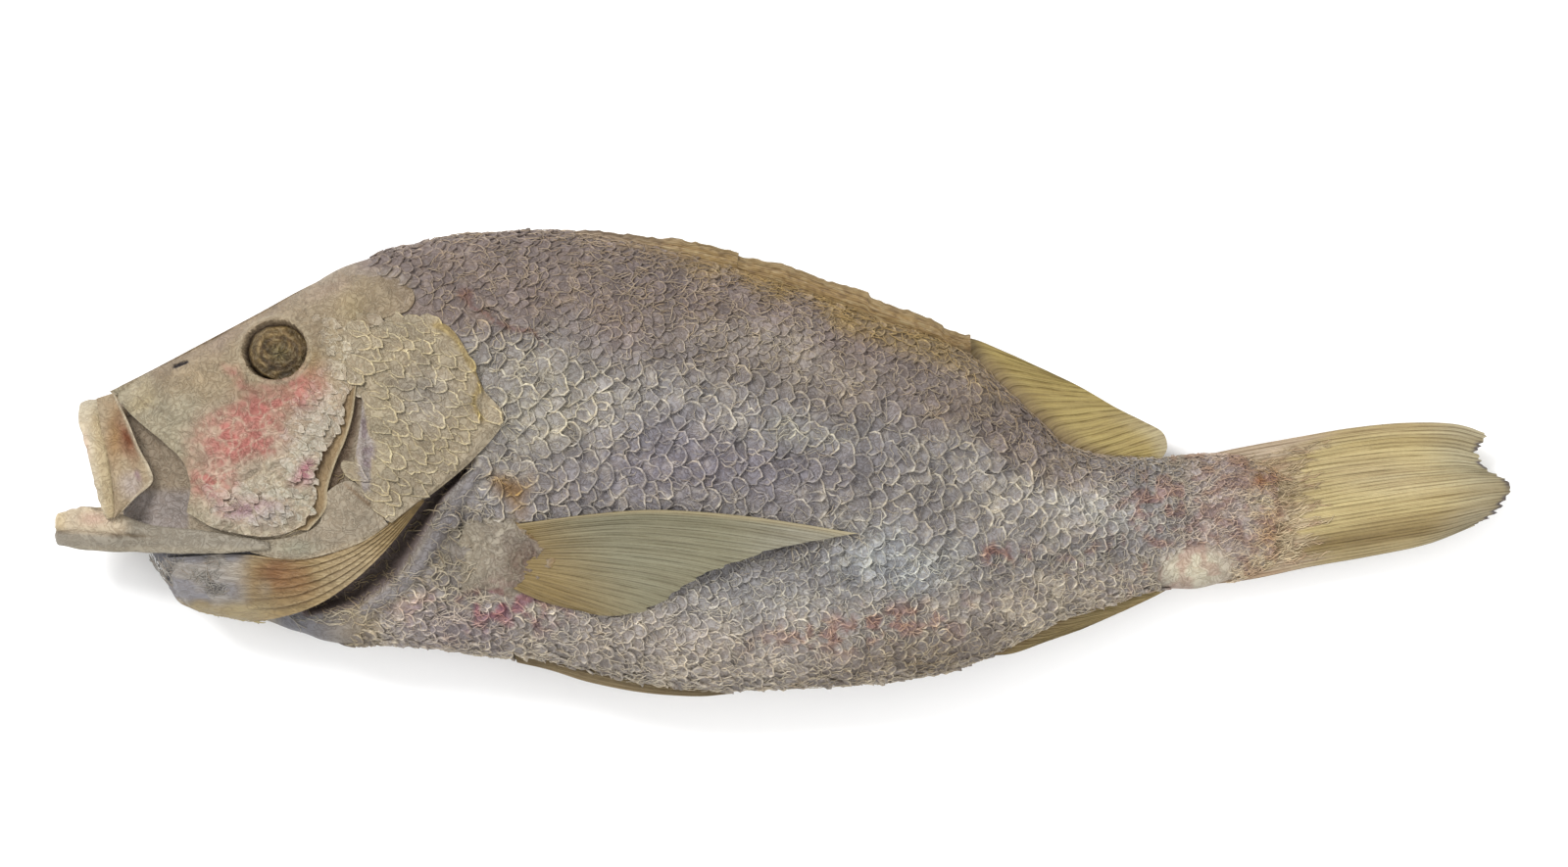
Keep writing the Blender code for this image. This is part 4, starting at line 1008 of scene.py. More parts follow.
# ---------------------------------------------------------------- head scales
# Small oval scales on the gill covers, the nape behind the eye and the cheek, in slanting rows.
# They have dried up at their rear rims like the body's, and on the cheek the pink shows between.

HEAD_ROW, COVER_ROW = (2.7, 2.2), (4.3, 3.6)
HEAD_SLANT = (0.88, -0.47)


def nearest_lift(x, y, grid, lift, reach):
    """A plate's lift at each place, and whether the place lies on that plate."""
    flat, lifts = grid[::2, ::2].reshape(-1, 2), lift[::2, ::2].ravel()
    away = (x[:, None] - flat[:, 0]) ** 2 + (y[:, None] - flat[:, 1]) ** 2
    return lifts[away.argmin(axis=1)], away.min(axis=1) < reach ** 2


def slanted_rows(x_range, y_range, pitch, seed):
    """Staggered places over a box, in rows that slant down towards the tail."""
    rng = np.random.default_rng(seed)
    reach = 90
    u, v = np.meshgrid(np.arange(-reach, reach, pitch[0]), np.arange(-reach, reach, pitch[1]))
    v = v + pitch[1] / 2 * (np.arange(u.shape[1]) % 2)
    u, v = u + rng.uniform(-0.16, 0.16, u.shape) * pitch[0], v + rng.uniform(-0.16, 0.16, v.shape) * pitch[1]
    x = np.mean(x_range) + u * HEAD_SLANT[0] - v * HEAD_SLANT[1]
    y = np.mean(y_range) + u * HEAD_SLANT[1] + v * HEAD_SLANT[0]
    inside = (x > x_range[0]) & (x < x_range[1]) & (y > y_range[0]) & (y < y_range[1])
    return x[inside], y[inside]


def cover_scale_tone(where, rim, lot):
    tone = cover_tone(where[:, 0], where[:, 1])
    middle = tone * (0.62 + 0.16 * lot[:, None]) * np.array((1.0, 0.98, 0.93))
    pale = tone * 1.3 + np.array((0.10, 0.08, -0.01))
    return middle + (pale - middle) * (smooth_step(0.1, 0.9, rim) * (0.6 + 0.4 * lot))[:, None]


def cheek_scale_tone(where, rim, lot):
    tone = cheek_tone(where[:, 0], where[:, 1])
    middle = tone * (0.76 + 0.12 * lot[:, None])
    pale = tone * 0.82 + np.array((0.15, 0.13, 0.085))
    return middle + (pale - middle) * (smooth_step(0.2, 0.9, rim) * (0.55 + 0.45 * lot))[:, None]


for side in ("left", "right"):
    left = side == "left"
    x, y = slanted_rows((-123, -78), (-18, 41), COVER_ROW, 201)
    lift, on_plate = nearest_lift(x, y, cover_grid, cover_lift, 0.9)
    bridge = (x < -114) & (y > 22) & (y < 41) & ~on_plate
    smooth_band = stroke(x, y, [(-80, 12, 4), (-90, -1, 4.5), (-103, -11, 4), (-112, -17, 3)], 0.01) > 0
    front_strip = stroke(x, y, [(-119.5, 18, 2.2), (-118.4, 0, 3), (-119, -8, 2.6)], 0.01) > 0
    rim_band = stroke(x, y, [(a, b, 1.8) for a, b, w in COVER_RIM], 0.01) > 0
    keep = (on_plate & ~smooth_band & ~front_strip & ~rim_band) | bridge
    x, y, lift = x[keep], y[keep], np.where(bridge, 1.5, lift)[keep]
    points, outward = off_skin(x, y, left, lift + 0.05)
    rearward = np.tile((HEAD_SLANT[0], HEAD_SLANT[1], 0), (len(x), 1))
    sizes = np.tile((COVER_ROW[0] * 0.95, COVER_ROW[1] * 0.62, 0.32), (len(x), 1))
    grow(f"cover_scales_{side}", points, unit(outward - 0.045 * rearward), rearward, sizes, scale_kinds, 0.09, 0.12,
         31 + left, SCALE_FINISH, cover_scale_tone)

    x, y = slanted_rows((-169, -104), (-19, 52), HEAD_ROW, 202)
    lift, on_plate = nearest_lift(x, y, cheek_grid[:-9, :-7], cheek_lift[:-9, :-7], 0.5)
    clear_of_eye = np.hypot((x - EYE[0]) / EYE_PIT[0], (y - EYE[1]) / EYE_PIT[1]) > 1.55
    scaly_cheek = ((x > -140.5) & (y < 18 + 0.5 * (x + 140))) | ((x > -131.5) & (y < 41)) | (y < -7)
    keep = on_plate & clear_of_eye & scaly_cheek & (x > -164 + 0.3 * np.abs(y + 3))
    x, y, lift = x[keep], y[keep], lift[keep]
    points, outward = off_skin(x, y, left, lift - 0.03)
    rearward = np.tile((HEAD_SLANT[0], HEAD_SLANT[1], 0), (len(x), 1))
    low = smooth_step(-150, -128, x)
    sizes = np.stack([HEAD_ROW[0] * (1.0 + 0 * x), HEAD_ROW[1] * (0.62 + 0 * x), 0.14 + 0.08 * low], axis=1)
    grow(f"cheek_scales_{side}", points, unit(outward - 0.02 * rearward), rearward, sizes, scale_kinds, 0.12, 0.15,
         41 + left, SCALE_FINISH, cheek_scale_tone)


# ---------------------------------------------------------------- gill skins
# Thin golden-brown skin on long bony rays, folded in pleats like a fan under the gill covers.

SKIN_TOP = [(-179, -27.6), (-168, -26.4), (-153, -26), (-139, -27.4), (-126, -25), (-114, -18.4), (-102, -9.4)]
SKIN_FOOT = [(-176, -36), (-172, -40.6), (-162, -43.4), (-148, -44.2), (-136, -41.6), (-125, -35.6), (-113, -25), (-101.6, -11)]
PLEATS = 6

pleat_grid, pleat_u, pleat_v = patch(SKIN_TOP, SKIN_FOOT, rows=70, columns=150)
pleat_x, pleat_y = pleat_grid[..., 0], pleat_grid[..., 1]
gather = pleat_v * PLEATS + 0.35 * wander(pleat_u * 40, pleat_v * 8, 9, 80)
step_up = (gather % 1) ** 1.8
pleating = smooth_step(0.18, 0.5, pleat_u)
pleat_lift = 0.55 + 0.5 * pleat_v + pleating * (0.55 * step_up - 0.1) + 0.18 * wander(pleat_x * 0.5, pleat_y, 1.6, 81)
pleat_lift += 0.6 * (1 - pleating) * wander(pleat_x * 0.6, pleat_y, 4, 82) - 1.6 * smooth_step(0.07, 0, pleat_u)
pleat_paint = np.zeros(pleat_x.shape + (3,)) + (0.27, 0.19, 0.083)
pleat_paint = tint(pleat_paint, (0.38, 0.30, 0.18), 0.8 * spot(pleat_x, pleat_y, (-122, -30), (17, 10), 35))
# darker at the foot of each pleat and lighter along its crest: painted shade and painted highlight on the folds
pleat_paint = tint(pleat_paint, (0.15, 0.08, 0.03), pleating * smooth_step(0.3, 0.05, gather % 1) * 0.62)
pleat_paint = tint(pleat_paint, (0.42, 0.32, 0.17), pleating * 0.6 * smooth_step(0.7, 0.98, gather % 1))
blotch = wander(pleat_x, pleat_y, 5, 83)
pleat_paint = tint(pleat_paint, (0.15, 0.06, 0.02), 0.85 * spot(pleat_x + 2 * blotch, pleat_y, (-144, -31), (7, 8)))
pleat_paint = tint(pleat_paint, (0.22, 0.10, 0.03), 0.7 * spot(pleat_x + 3 * blotch, pleat_y, (-141, -33), (12, 9)))
pleat_paint = tint(pleat_paint, np.array(THROAT_BLUE) * (0.76, 0.79, 0.84), 0.9 * smooth_step(-146, -160, pleat_x + 4 * blotch) * smooth_step(-41.5, -38, pleat_y + blotch))
pleat_paint = tint(pleat_paint, (0.40, 0.36, 0.30), 0.6 * smooth_step(-0.1, 0.5, blotch) * smooth_step(-150, -158, pleat_x))
pleat_paint = tint(pleat_paint, (0.33, 0.26, 0.14), smooth_step(-38, -41, pleat_y + blotch) * smooth_step(-142, -152, pleat_x))
GILL_FINISH = dried_finish("gill_skin", 0.18, 1.0, 0.35, 0.35, -0.16, (0.35, 1.6, 1))
for side in ("left", "right"):
    plate(f"gill_pleats_{side}", pleat_grid, side == "left", pleat_lift, 0.7, pleat_paint, GILL_FINISH, "gill_skin",
          f"gill_skin_{side}", sharp=None)


# ---------------------------------------------------------------- jaws
# Two bony arches with the lips dried onto them, held open. A flat bone hangs behind the upper one
# on each side, brown where it has bled, and lilac at its foot.

SNOUT_MIDDLE = 20.0
UPPER_ARCH = [(-191.6, -15.6, 30), (-193.2, -10, 30.6), (-195, -1, 31), (-196.8, 7, 30.2), (-198, 12.5, 27.8),
              (-198, 15.8, 23.8), (-197.6, 16.8, 20)]
UPPER_WIDTHS = [1.6, 2.3, 2.6, 3.0, 3.4, 3.4, 3.4]
LOWER_ARCH = [(-146, -23.6, 0), (-158, -23, 0), (-170, -22.4, 0), (-182, -21.6, 0), (-192, -19.7, 29), (-200, -18.9, 26.4),
              (-205.6, -19.1, 22.6), (-207.6, -19.3, 20)]
LOWER_WIDTHS = [1.2, 2.6, 3.6, 4.1, 5.8, 6.0, 5.0, 4.6]
JAW_FINISH = dried_finish("jaw_bone", 0.14, 1.4, 0.3, 0.4, -0.08)


def arch(name, left_half, widths, thickness, wide_axis, relief, tone_of, *nodes):
    """A jaw: oval rings along its arch, worked over by relief(x, y, turn)."""
    half = even_path([tuple(p) + (w,) for p, w in zip(left_half, widths)], 90)
    other = half[-2::-1].copy()
    other[:, 2] = 2 * SNOUT_MIDDLE - other[:, 2]
    path = np.concatenate([half, other])
    centre, wide_by = path[:, :3], path[:, 3]
    ahead = unit(np.gradient(centre, axis=0))
    thin = unit(np.cross(ahead, wide_axis))
    wide = unit(np.cross(thin, ahead))
    turn = np.linspace(0, 2 * math.pi, 40, endpoint=False)
    c, s = np.cos(turn)[None, :, None], np.sin(turn)[None, :, None]
    square = (np.abs(c) ** 2.6 + np.abs(s) ** 2.6) ** (-1 / 2.6)
    rings = centre[:, None] + square * (wide[:, None] * c * wide_by[:, None, None] + thin[:, None] * s * thickness / 2)
    out = unit(rings - centre[:, None])
    rings = rings + out * relief(rings[..., 0], rings[..., 1], rings[..., 2])[..., None]
    count = len(turn)
    index = np.arange(len(path) * count).reshape(-1, count)
    faces = np.stack([index[:-1], index[1:], np.roll(index[1:], -1, 1), np.roll(index[:-1], -1, 1)], -1).reshape(-1, 4)
    quad = rings.reshape(-1, 3)[faces[0]]
    flip = np.cross(quad[1] - quad[0], quad[2] - quad[0]) @ out[0, 0] < 0
    faces = faces.tolist() + [index[0].tolist(), index[-1][::-1].tolist()]
    if flip:
        faces = [f[::-1] for f in faces]
    points = rings.reshape(-1, 3)
    return finished(name, points, faces, tone_of(points[:, 0], points[:, 1]), JAW_FINISH, "jaw_bone", *nodes)


def upper_relief(x, y, z):
    return 0.3 * wander(x, y * 0.5 + z, 3, 90) + 0.15 * wander(x * 2, y + z, 1.4, 91)


def upper_tone(x, y):
    tone = np.zeros(x.shape + (3,)) + (0.53, 0.45, 0.32)
    tone = tint(tone, (0.40, 0.31, 0.17), 0.8 * smooth_step(-198.5, -195.5, x + 0.16 * (y - 8)))
    tone = tint(tone, (0.60, 0.38, 0.33), 0.5 * spot(x, y, (-199.5, 3), (2.5, 8)))
    return tint(tone, (0.42, 0.37, 0.27), 0.5 * smooth_step(12, 17, y))


def lower_relief(x, y, z):
    seam = np.exp(-((y + 20.3 + 0.05 * (x + 195)) / 0.5) ** 2) * smooth_step(-178, -186, x)
    bumps = 0.5 * wander(x, z, 2.6, 92) * smooth_step(-17, -14, y) * smooth_step(-186, -192, x)
    return bumps - 0.75 * seam + 0.2 * wander(x * 0.5, y * 1.5 + z, 2.2, 93)


def lower_tone(x, y):
    tone = np.zeros(x.shape + (3,)) + (0.25, 0.22, 0.17)
    tone = tint(tone, (0.38, 0.33, 0.24), 0.6 * smooth_step(-23, -25, y))
    lip = smooth_step(-20.6, -19.9, y + 0.05 * (x + 195)) * smooth_step(-185, -190, x)
    tone = tint(tone, (0.50, 0.41, 0.29), lip)
    tone = tint(tone, (0.52, 0.32, 0.25), 0.6 * lip * spot(x, y, (-197, -16), (7, 3)))
    tone = tint(tone, (0.55, 0.43, 0.24), 0.7 * lip * smooth_step(-204, -208, x))
    seam = np.exp(-((y + 20.3 + 0.05 * (x + 195)) / 0.45) ** 2) * smooth_step(-176, -186, x)
    return tint(tone, (0.13, 0.09, 0.05), 0.85 * seam)


lower_left = []
for x, y, z in LOWER_ARCH:
    if x > -188:
        stands_off = 1.9 - 1.6 * float(smooth_step(-160, -146, x))
        z = float(off_skin(np.array([x]), np.array([y]), True, np.array([stands_off]))[0][0, 2])
    lower_left.append((x, y, z))
arch("upper_jaw_arch", UPPER_ARCH, UPPER_WIDTHS, 3.0, (1, 0, 0), upper_relief, upper_tone, "upper_jaw")
arch("lower_jaw_arch", lower_left, LOWER_WIDTHS, 3.0, (0, 1, 0), lower_relief, lower_tone, "lower_jaw")

# the fold of lip skin that ties the upper arch to the tip of the snout
fold_across, fold_along = np.meshgrid(np.linspace(-1, 1, 40), np.linspace(0, 1, 24), indexing="ij")
fold_x = -198.2 + 10.6 * fold_along
fold_y = 16.9 + 1.7 * fold_along - 2.8 * fold_across ** 2 - 0.9 * np.sin(math.pi * fold_along)
fold_y += 0.35 * wander(fold_across * 9, fold_along * 5, 1.6, 97)
fold_upper = np.stack([fold_x, fold_y, SNOUT_MIDDLE + (5.6 + 0.8 * fold_along) * fold_across], axis=-1)
fold_points, fold_faces = closed_sheet(fold_upper, fold_upper - np.array((0, 2.0, 0)))
fold_paint = tint(np.zeros(fold_points.shape) + (0.44, 0.36, 0.24), (0.30, 0.22, 0.14), smooth_step(-194, -190, fold_points[:, 0]))
finished("snout_fold", fold_points, fold_faces, fold_paint, JAW_FINISH, "jaw_bone")

MAXILLA_FRONT = [(-196, 18.4), (-195, 12), (-194, 5), (-192.6, -3), (-191, -9), (-191.2, -15.5)]
MAXILLA_REAR = [(-191, 20), (-187, 12), (-183.6, 4), (-180.6, -1.5), (-180, -5.6), (-184.6, -9.8), (-190.6, -16)]
maxilla_grid, maxilla_u, maxilla_v = patch(MAXILLA_FRONT, MAXILLA_REAR, rows=50, columns=90)
maxilla_x, maxilla_y = maxilla_grid[..., 0], maxilla_grid[..., 1]
wx, wy = maxilla_x + 0.8 * wander(maxilla_x, maxilla_y, 3, 94), maxilla_y + 1.5 * wander(maxilla_x, maxilla_y, 4, 95)
maxilla_paint = np.zeros(maxilla_x.shape + (3,)) + (0.35, 0.27, 0.17)
maxilla_paint = tint(maxilla_paint, (0.27, 0.15, 0.055), 0.9 * spot(wx, wy, (-190.5, 8), (4, 13)))
maxilla_paint = tint(maxilla_paint, (0.16, 0.045, 0.01), 1.0 * spot(wx, wy, (-187.2, 7), (3.4, 12), 15))
maxilla_paint = tint(maxilla_paint, (0.38, 0.315, 0.27), 0.95 * spot(wx, wy, (-186, -7), (6, 6)))
maxilla_paint = tint(maxilla_paint, (0.30, 0.19, 0.22), 0.7 * spot(wx, wy, (-184, -4), (1.6, 2.6)))
maxilla_paint = tint(maxilla_paint, (0.46, 0.39, 0.28), 0.8 * smooth_step(0.84, 0.97, maxilla_v))
maxilla_bulge = 0.9 * np.sin(math.pi * maxilla_v) + 0.35 * wander(maxilla_x * 2, maxilla_y * 0.6, 3, 96) + 0.5 * smooth_step(0.88, 0.95, maxilla_v)
for side in ("left", "right"):
    left = side == "left"
    height = 31.4 + maxilla_bulge + 0.05 * (maxilla_x + 186)
    upper = np.stack([maxilla_x, maxilla_y, height if left else 2 * SNOUT_MIDDLE - height], axis=-1)
    lower = upper - np.array((0, 0, 1.2 if left else -1.2))
    points, faces = closed_sheet(upper, lower)
    finished(f"maxilla_{side}_bone", points, faces, np.concatenate([maxilla_paint.reshape(-1, 3)] * 2), JAW_FINISH,
             "jaw_bone", f"maxilla_{side}", sharp=50)


# ---------------------------------------------------------------- fins
# Skin webs stiffened by fine bony rays, dried translucent yellow. The spiny fin has folded flat
# along the back, the breast fins lie against the flanks and the belly fins along the belly.

FIN = 1.1


def fin_ray_group():
    """Fine dark lines between the rays of a fin, broad streaks along them, and their relief."""
    group = bpy.data.node_groups.new("fin_rays", "ShaderNodeTree")
    for name, kind, value in (("Tone", "NodeSocketColor", (0.5, 0.4, 0.2, 1)), ("Rays", "NodeSocketFloat", 30.0),
                              ("Line", "NodeSocketFloat", 0.6), ("Streak", "NodeSocketFloat", 0.5)):
        made = group.interface.new_socket(name=name, in_out="INPUT", socket_type=kind)
        made.default_value = value
    for name, kind in (("Tone", "NodeSocketColor"), ("Height", "NodeSocketFloat")):
        group.interface.new_socket(name=name, in_out="OUTPUT", socket_type=kind)
    nodes, links = group.nodes, group.links
    given, result = nodes.new("NodeGroupInput"), nodes.new("NodeGroupOutput")
    place = nodes.new("ShaderNodeUVMap")
    place.uv_map = "along_rays"
    axes = nodes.new("ShaderNodeSeparateXYZ")
    links.new(place.outputs["UV"], axes.inputs[0])

    def figure(operation, a, b=0.0, c=0.0):
        node = nodes.new("ShaderNodeMath")
        node.operation = operation
        for socket, source in zip(node.inputs, (a, b, c)):
            if isinstance(source, (int, float)):
                socket.default_value = source
            else:
                links.new(source, socket)
        return node.outputs[0]

    def streaks(length, across, detail):
        scale = nodes.new("ShaderNodeVectorMath")
        scale.operation = "MULTIPLY"
        scale.inputs[1].default_value = (length, across, 1)
        links.new(place.outputs["UV"], scale.inputs[0])
        noise = nodes.new("ShaderNodeTexNoise")
        noise.inputs["Scale"].default_value = 1.0
        noise.inputs["Detail"].default_value = detail
        links.new(scale.outputs[0], noise.inputs["Vector"])
        return noise.outputs["Fac"]

    def limits(source, low, high):
        node = nodes.new("ShaderNodeMapRange")
        node.interpolation_type = "SMOOTHSTEP"
        links.new(source, node.inputs["Value"])
        node.inputs["From Min"].default_value = low
        node.inputs["From Max"].default_value = high
        return node.outputs["Result"]

    bend = figure("MULTIPLY", figure("SUBTRACT", streaks(1.6, 5.0, 1), 0.5), 0.035)
    across = figure("ADD", axes.outputs["Y"], bend)
    between = limits(figure("PINGPONG", figure("MULTIPLY", across, given.outputs["Rays"]), 0.5), 0.0, 0.24)
    finer = limits(figure("PINGPONG", figure("MULTIPLY", across, figure("MULTIPLY", given.outputs["Rays"], 2.63)), 0.5), 0.0, 0.35)
    broken = limits(streaks(5.0, 40.0, 3), 0.38, 0.62)
    lines = figure("MULTIPLY", figure("MAXIMUM", between, figure("MULTIPLY", broken, 0.8)),
                   figure("MULTIPLY_ADD", finer, 0.3, 0.7))
    broad = limits(streaks(1.4, 11.0, 3), 0.3, 0.68)

    def worked(tone, light_share, dark, factor):
        node = nodes.new("ShaderNodeMix")
        node.data_type = "RGBA"
        node.blend_type = "MULTIPLY"
        node.inputs["B"].default_value = (*dark, 1)
        links.new(figure("MULTIPLY", figure("SUBTRACT", 1.0, light_share), factor), node.inputs["Factor"])
        links.new(tone, node.inputs["A"])
        return node.outputs["Result"]

    tone = worked(given.outputs["Tone"], broad, (0.55, 0.47, 0.34), given.outputs["Streak"])
    tone = worked(tone, lines, (0.40, 0.30, 0.17), given.outputs["Line"])
    links.new(tone, result.inputs["Tone"])
    links.new(figure("MULTIPLY_ADD", broad, 0.3, lines), result.inputs["Height"])
    return group


FIN_RAYS = fin_ray_group()


def ray_finish(name, rays, line, streak, depth):
    """Dried fin web, its tone painted on the piece and worked over by the rays and the dried grain."""
    made = bpy.data.materials.new(name)
    made.use_nodes = True
    nodes, links = made.node_tree.nodes, made.node_tree.links
    shader = nodes["Principled BSDF"]
    painted = nodes.new("ShaderNodeAttribute")
    painted.attribute_name = "tone"
    lined = nodes.new("ShaderNodeGroup")
    lined.node_tree = FIN_RAYS
    lined.inputs["Rays"].default_value = rays
    lined.inputs["Line"].default_value = line
    lined.inputs["Streak"].default_value = streak
    links.new(painted.outputs["Color"], lined.inputs["Tone"])
    grain = nodes.new("ShaderNodeGroup")
    grain.node_tree = DRIED_GRAIN
    grain.inputs["Mottle"].default_value = 0.06
    grain.inputs["Wrinkle Size"].default_value = 2.0
    grain.inputs["Crease Darkening"].default_value = 0.12
    links.new(lined.outputs["Tone"], grain.inputs["Tone"])
    links.new(grain.outputs["Tone"], shader.inputs["Base Color"])
    bump = nodes.new("ShaderNodeBump")
    bump.inputs["Distance"].default_value = depth * MM
    links.new(lined.outputs["Height"], bump.inputs["Height"])
    links.new(bump.outputs["Normal"], shader.inputs["Normal"])
    shader.inputs["Roughness"].default_value = 0.55
    return made


def fin(name, grid, u, v, middle, thickness, tone, finish, slot, *nodes):
    """A fin web from a grid whose rows run out along the rays; v is along them, u across."""
    upper = np.stack([grid[..., 0], grid[..., 1], middle + thickness / 2], axis=-1)
    lower = np.stack([grid[..., 0], grid[..., 1], middle - thickness / 2], axis=-1)
    points, faces = closed_sheet(upper, lower)
    points[:, 2] = np.maximum(points[:, 2], 0.02)
    obj = finished(name, points, faces, np.concatenate([tone.reshape(-1, 3)] * 2), finish, slot, *nodes, sharp=60)
    layer = obj.data.uv_layers.new(name="along_rays")
    place = np.tile(np.stack([v.ravel(), u.ravel()], axis=1), (2, 1))
    corner = np.empty(len(obj.data.loops), dtype=int)
    obj.data.loops.foreach_get("vertex_index", corner)
    layer.data.foreach_set("uv", place[corner].ravel())
    return obj


def ray_ridges(u, v, count, seed):
    """Rounded ray ridges across a fin, wavering a little, finer towards the tips."""
    shift = 0.25 * wander(v * 8, u * 30, 3, seed)
    return np.abs(np.sin(math.pi * (u * count + shift)))


TAIL_BASE = [(122, 2.2), (126, -6), (127, -16), (126, -26), (122, -35.4)]
TAIL_TIP = [(203.6, 8.6), (202.4, 6.2), (200.4, 3), (201.4, 0.4), (203, -1.8), (207, -4), (210, -6.8),
            (208.4, -10.6), (205, -14.8), (200, -18.2)]
TAIL_TOP = [(122, 2.2), (134, 4.7), (150, 7.6), (165, 10.1), (180, 11.5), (194, 11.2), (203.6, 8.6)]
TAIL_FOOT = [(122, -35.4), (136, -33.6), (152, -30.2), (169, -27.2), (186, -23.6), (200, -18.2)]
tail_grid, tail_u, tail_v = patch(TAIL_BASE, TAIL_TIP, TAIL_TOP, TAIL_FOOT, rows=110, columns=170)
tail_x, tail_y = tail_grid[..., 0], tail_grid[..., 1]
tail_end = smooth_step(0.94, 1, tail_v)[..., None]
tail_grid = tail_grid + tail_end * np.stack([0.9 * wander(tail_u * 60, tail_u * 0, 1.1, 100), 0 * tail_u], -1)
tail_fold = np.exp(-((tail_u - 0.74 - 0.05 * tail_v) / 0.05) ** 2) * tail_v
tail_middle = 9.5 - 0.9 * tail_v + 1.6 * smooth_step(0.62, 0.9, tail_u) * tail_v + 0.9 * tail_fold
tail_middle += 0.6 * wander(tail_u * 40, tail_v * 20, 9, 101) * smooth_step(0.2, 0.7, tail_v)
tail_middle += (0.26 * ray_ridges(tail_u, tail_v, 17, 102) + 0.10 * ray_ridges(tail_u, tail_v, 46, 103)) * smooth_step(0.0, 0.2, tail_v)
tail_paint = np.zeros(tail_x.shape + (3,)) + (0.58, 0.475, 0.225)
tail_paint = tint(tail_paint, (0.60, 0.50, 0.29), 0.8 * spot(tail_x, tail_y, (175, -4), (32, 9), -4))
tail_paint = tint(tail_paint, (0.24, 0.165, 0.05), 0.85 * smooth_step(0.64, 0.78, tail_u) * smooth_step(0.97, 0.85, tail_u))
tail_paint = tint(tail_paint, (0.40, 0.33, 0.18), 0.7 * smooth_step(0.82, 0.97, tail_u))
tail_paint = tint(tail_paint, (0.44, 0.34, 0.18), 0.6 * smooth_step(0.14, 0.02, tail_u))
tail_paint = tint(tail_paint, (0.42, 0.385, 0.27), 0.7 * smooth_step(0.72, 0.95, tail_v))
tail_paint = tint(tail_paint, (0.09, 0.075, 0.10), 0.9 * smooth_step(0.975, 0.995, tail_v) * smooth_step(-0.4, 0.3, wander(tail_u * 50, tail_v * 0, 4, 104)))
root_fuzz = smooth_step(157, 140, tail_x + 7 * wander(tail_u * 30, tail_v * 3, 1.6, 105) + 3 * wander(tail_u * 90, tail_v * 4, 1.5, 106))
tail_paint = tint(tail_paint, (0.58, 0.47, 0.36), 0.85 * root_fuzz)
tail_paint = tint(tail_paint, (0.40, 0.24, 0.12), 0.6 * root_fuzz * smooth_step(0.0, 0.5, wander(tail_u * 60, tail_v * 3, 1.8, 107)) * smooth_step(150, 142, tail_x))
TAIL_FINISH = ray_finish("tail_web", 34, 0.6, 0.6, 0.32)
fin("tail_web", tail_grid, tail_u, tail_v, tail_middle, FIN, tail_paint, TAIL_FINISH, "fin_skin", "tail_fin")

SOFT_BASE = [(50, 33.5), (58, 25.5), (66, 17.5), (74, 10), (82, 4), (91, 1), (101, 0.8)]
SOFT_TIP = [(76, 26.6), (86, 21.8), (96, 16), (104, 12), (109.6, 8.8), (111, 4.4), (109.4, 1)]
SOFT_FIRST_RAY = [(50, 33.5), (54, 35.8), (64, 32), (76, 26.6)]
soft_grid, soft_u, soft_v = patch(SOFT_BASE, SOFT_TIP, SOFT_FIRST_RAY, rows=70, columns=150)
soft_x, soft_y = soft_grid[..., 0], soft_grid[..., 1]
soft_middle = value_at(LEFT_LINE, soft_x) * 0.45 + value_at(RIGHT_LINE, soft_x) * 0.55
soft_middle = soft_middle + 0.2 * ray_ridges(soft_u, soft_v, 15, 110) + 0.5 * wander(soft_u * 40, soft_v * 10, 7, 111)
soft_paint = np.zeros(soft_x.shape + (3,)) + (0.37, 0.285, 0.09)
soft_paint = tint(soft_paint, (0.19, 0.125, 0.05), 0.9 * smooth_step(0.35, 0.0, soft_v))
soft_paint = tint(soft_paint, (0.45, 0.40, 0.27), 0.7 * smooth_step(0.6, 1, soft_v) * smooth_step(0.4, 0.9, soft_u))
WEB_FINISH = ray_finish("back_and_belly_web", 19, 0.5, 0.5, 0.26)
fin("soft_back_web", soft_grid, soft_u, soft_v, soft_middle, FIN, soft_paint, WEB_FINISH, "fin_skin", "soft_dorsal_fin")

ANAL_BASE = [(57, -55.6), (66, -51.2), (76, -46), (88, -41.4), (100, -38)]
ANAL_TIP = [(86, -48.2), (98, -43), (107, -38.8), (111.4, -36.4)]
ANAL_FIRST_RAY = [(57, -55.6), (66, -55), (76, -51.6), (86, -48.2)]
anal_grid, anal_u, anal_v = patch(ANAL_BASE, ANAL_TIP, ANAL_FIRST_RAY, rows=60, columns=90)
anal_x, anal_y = anal_grid[..., 0], anal_grid[..., 1]
anal_middle = value_at(LEFT_LINE, anal_x) * 0.5 + value_at(RIGHT_LINE, anal_x) * 0.5 + 0.18 * ray_ridges(anal_u, anal_v, 11, 112)
anal_paint = tint(np.zeros(anal_x.shape + (3,)) + (0.37, 0.285, 0.12), (0.22, 0.145, 0.06), smooth_step(0.4, 0, anal_v))
fin("anal_web", anal_grid, anal_u, anal_v, anal_middle, FIN, anal_paint, WEB_FINISH, "fin_skin", "anal_fin")

SPINY_INNER = [(-66, 60.5), (-50, 58.4), (-33, 54.6), (-14, 50), (0, 45.4), (15, 40), (26, 36), (40, 31.6), (54, 28)]
SPINY_OUTER = [(-66, 66.6), (-50, 66.4), (-33, 64.6), (-14, 61.2), (-12, 59.6), (0, 57.2), (17, 51.4), (24, 49.2),
               (27, 46.8), (44, 41), (47, 38.6), (54, 36.6)]
spiny_grid, spiny_u, spiny_v = patch(SPINY_INNER, SPINY_OUTER, rows=40, columns=240)
spiny_grid[..., 1] += smooth_step(0.7, 1, spiny_v) * (0.4 * wander(spiny_u * 100, spiny_v * 0, 5, 114)
                                                    + 0.3 * wander(spiny_u * 100, spiny_v * 0, 1.1, 115) - 0.3)
spiny_x, spiny_y = spiny_grid[..., 0], spiny_grid[..., 1]
spiny_skin = flank_height(spiny_x, np.minimum(spiny_y, value_at(BACK_LINE, spiny_x) - 1), True)
spiny_rest = value_at(LEFT_LINE, spiny_x) * 0.55 + value_at(RIGHT_LINE, spiny_x) * 0.45
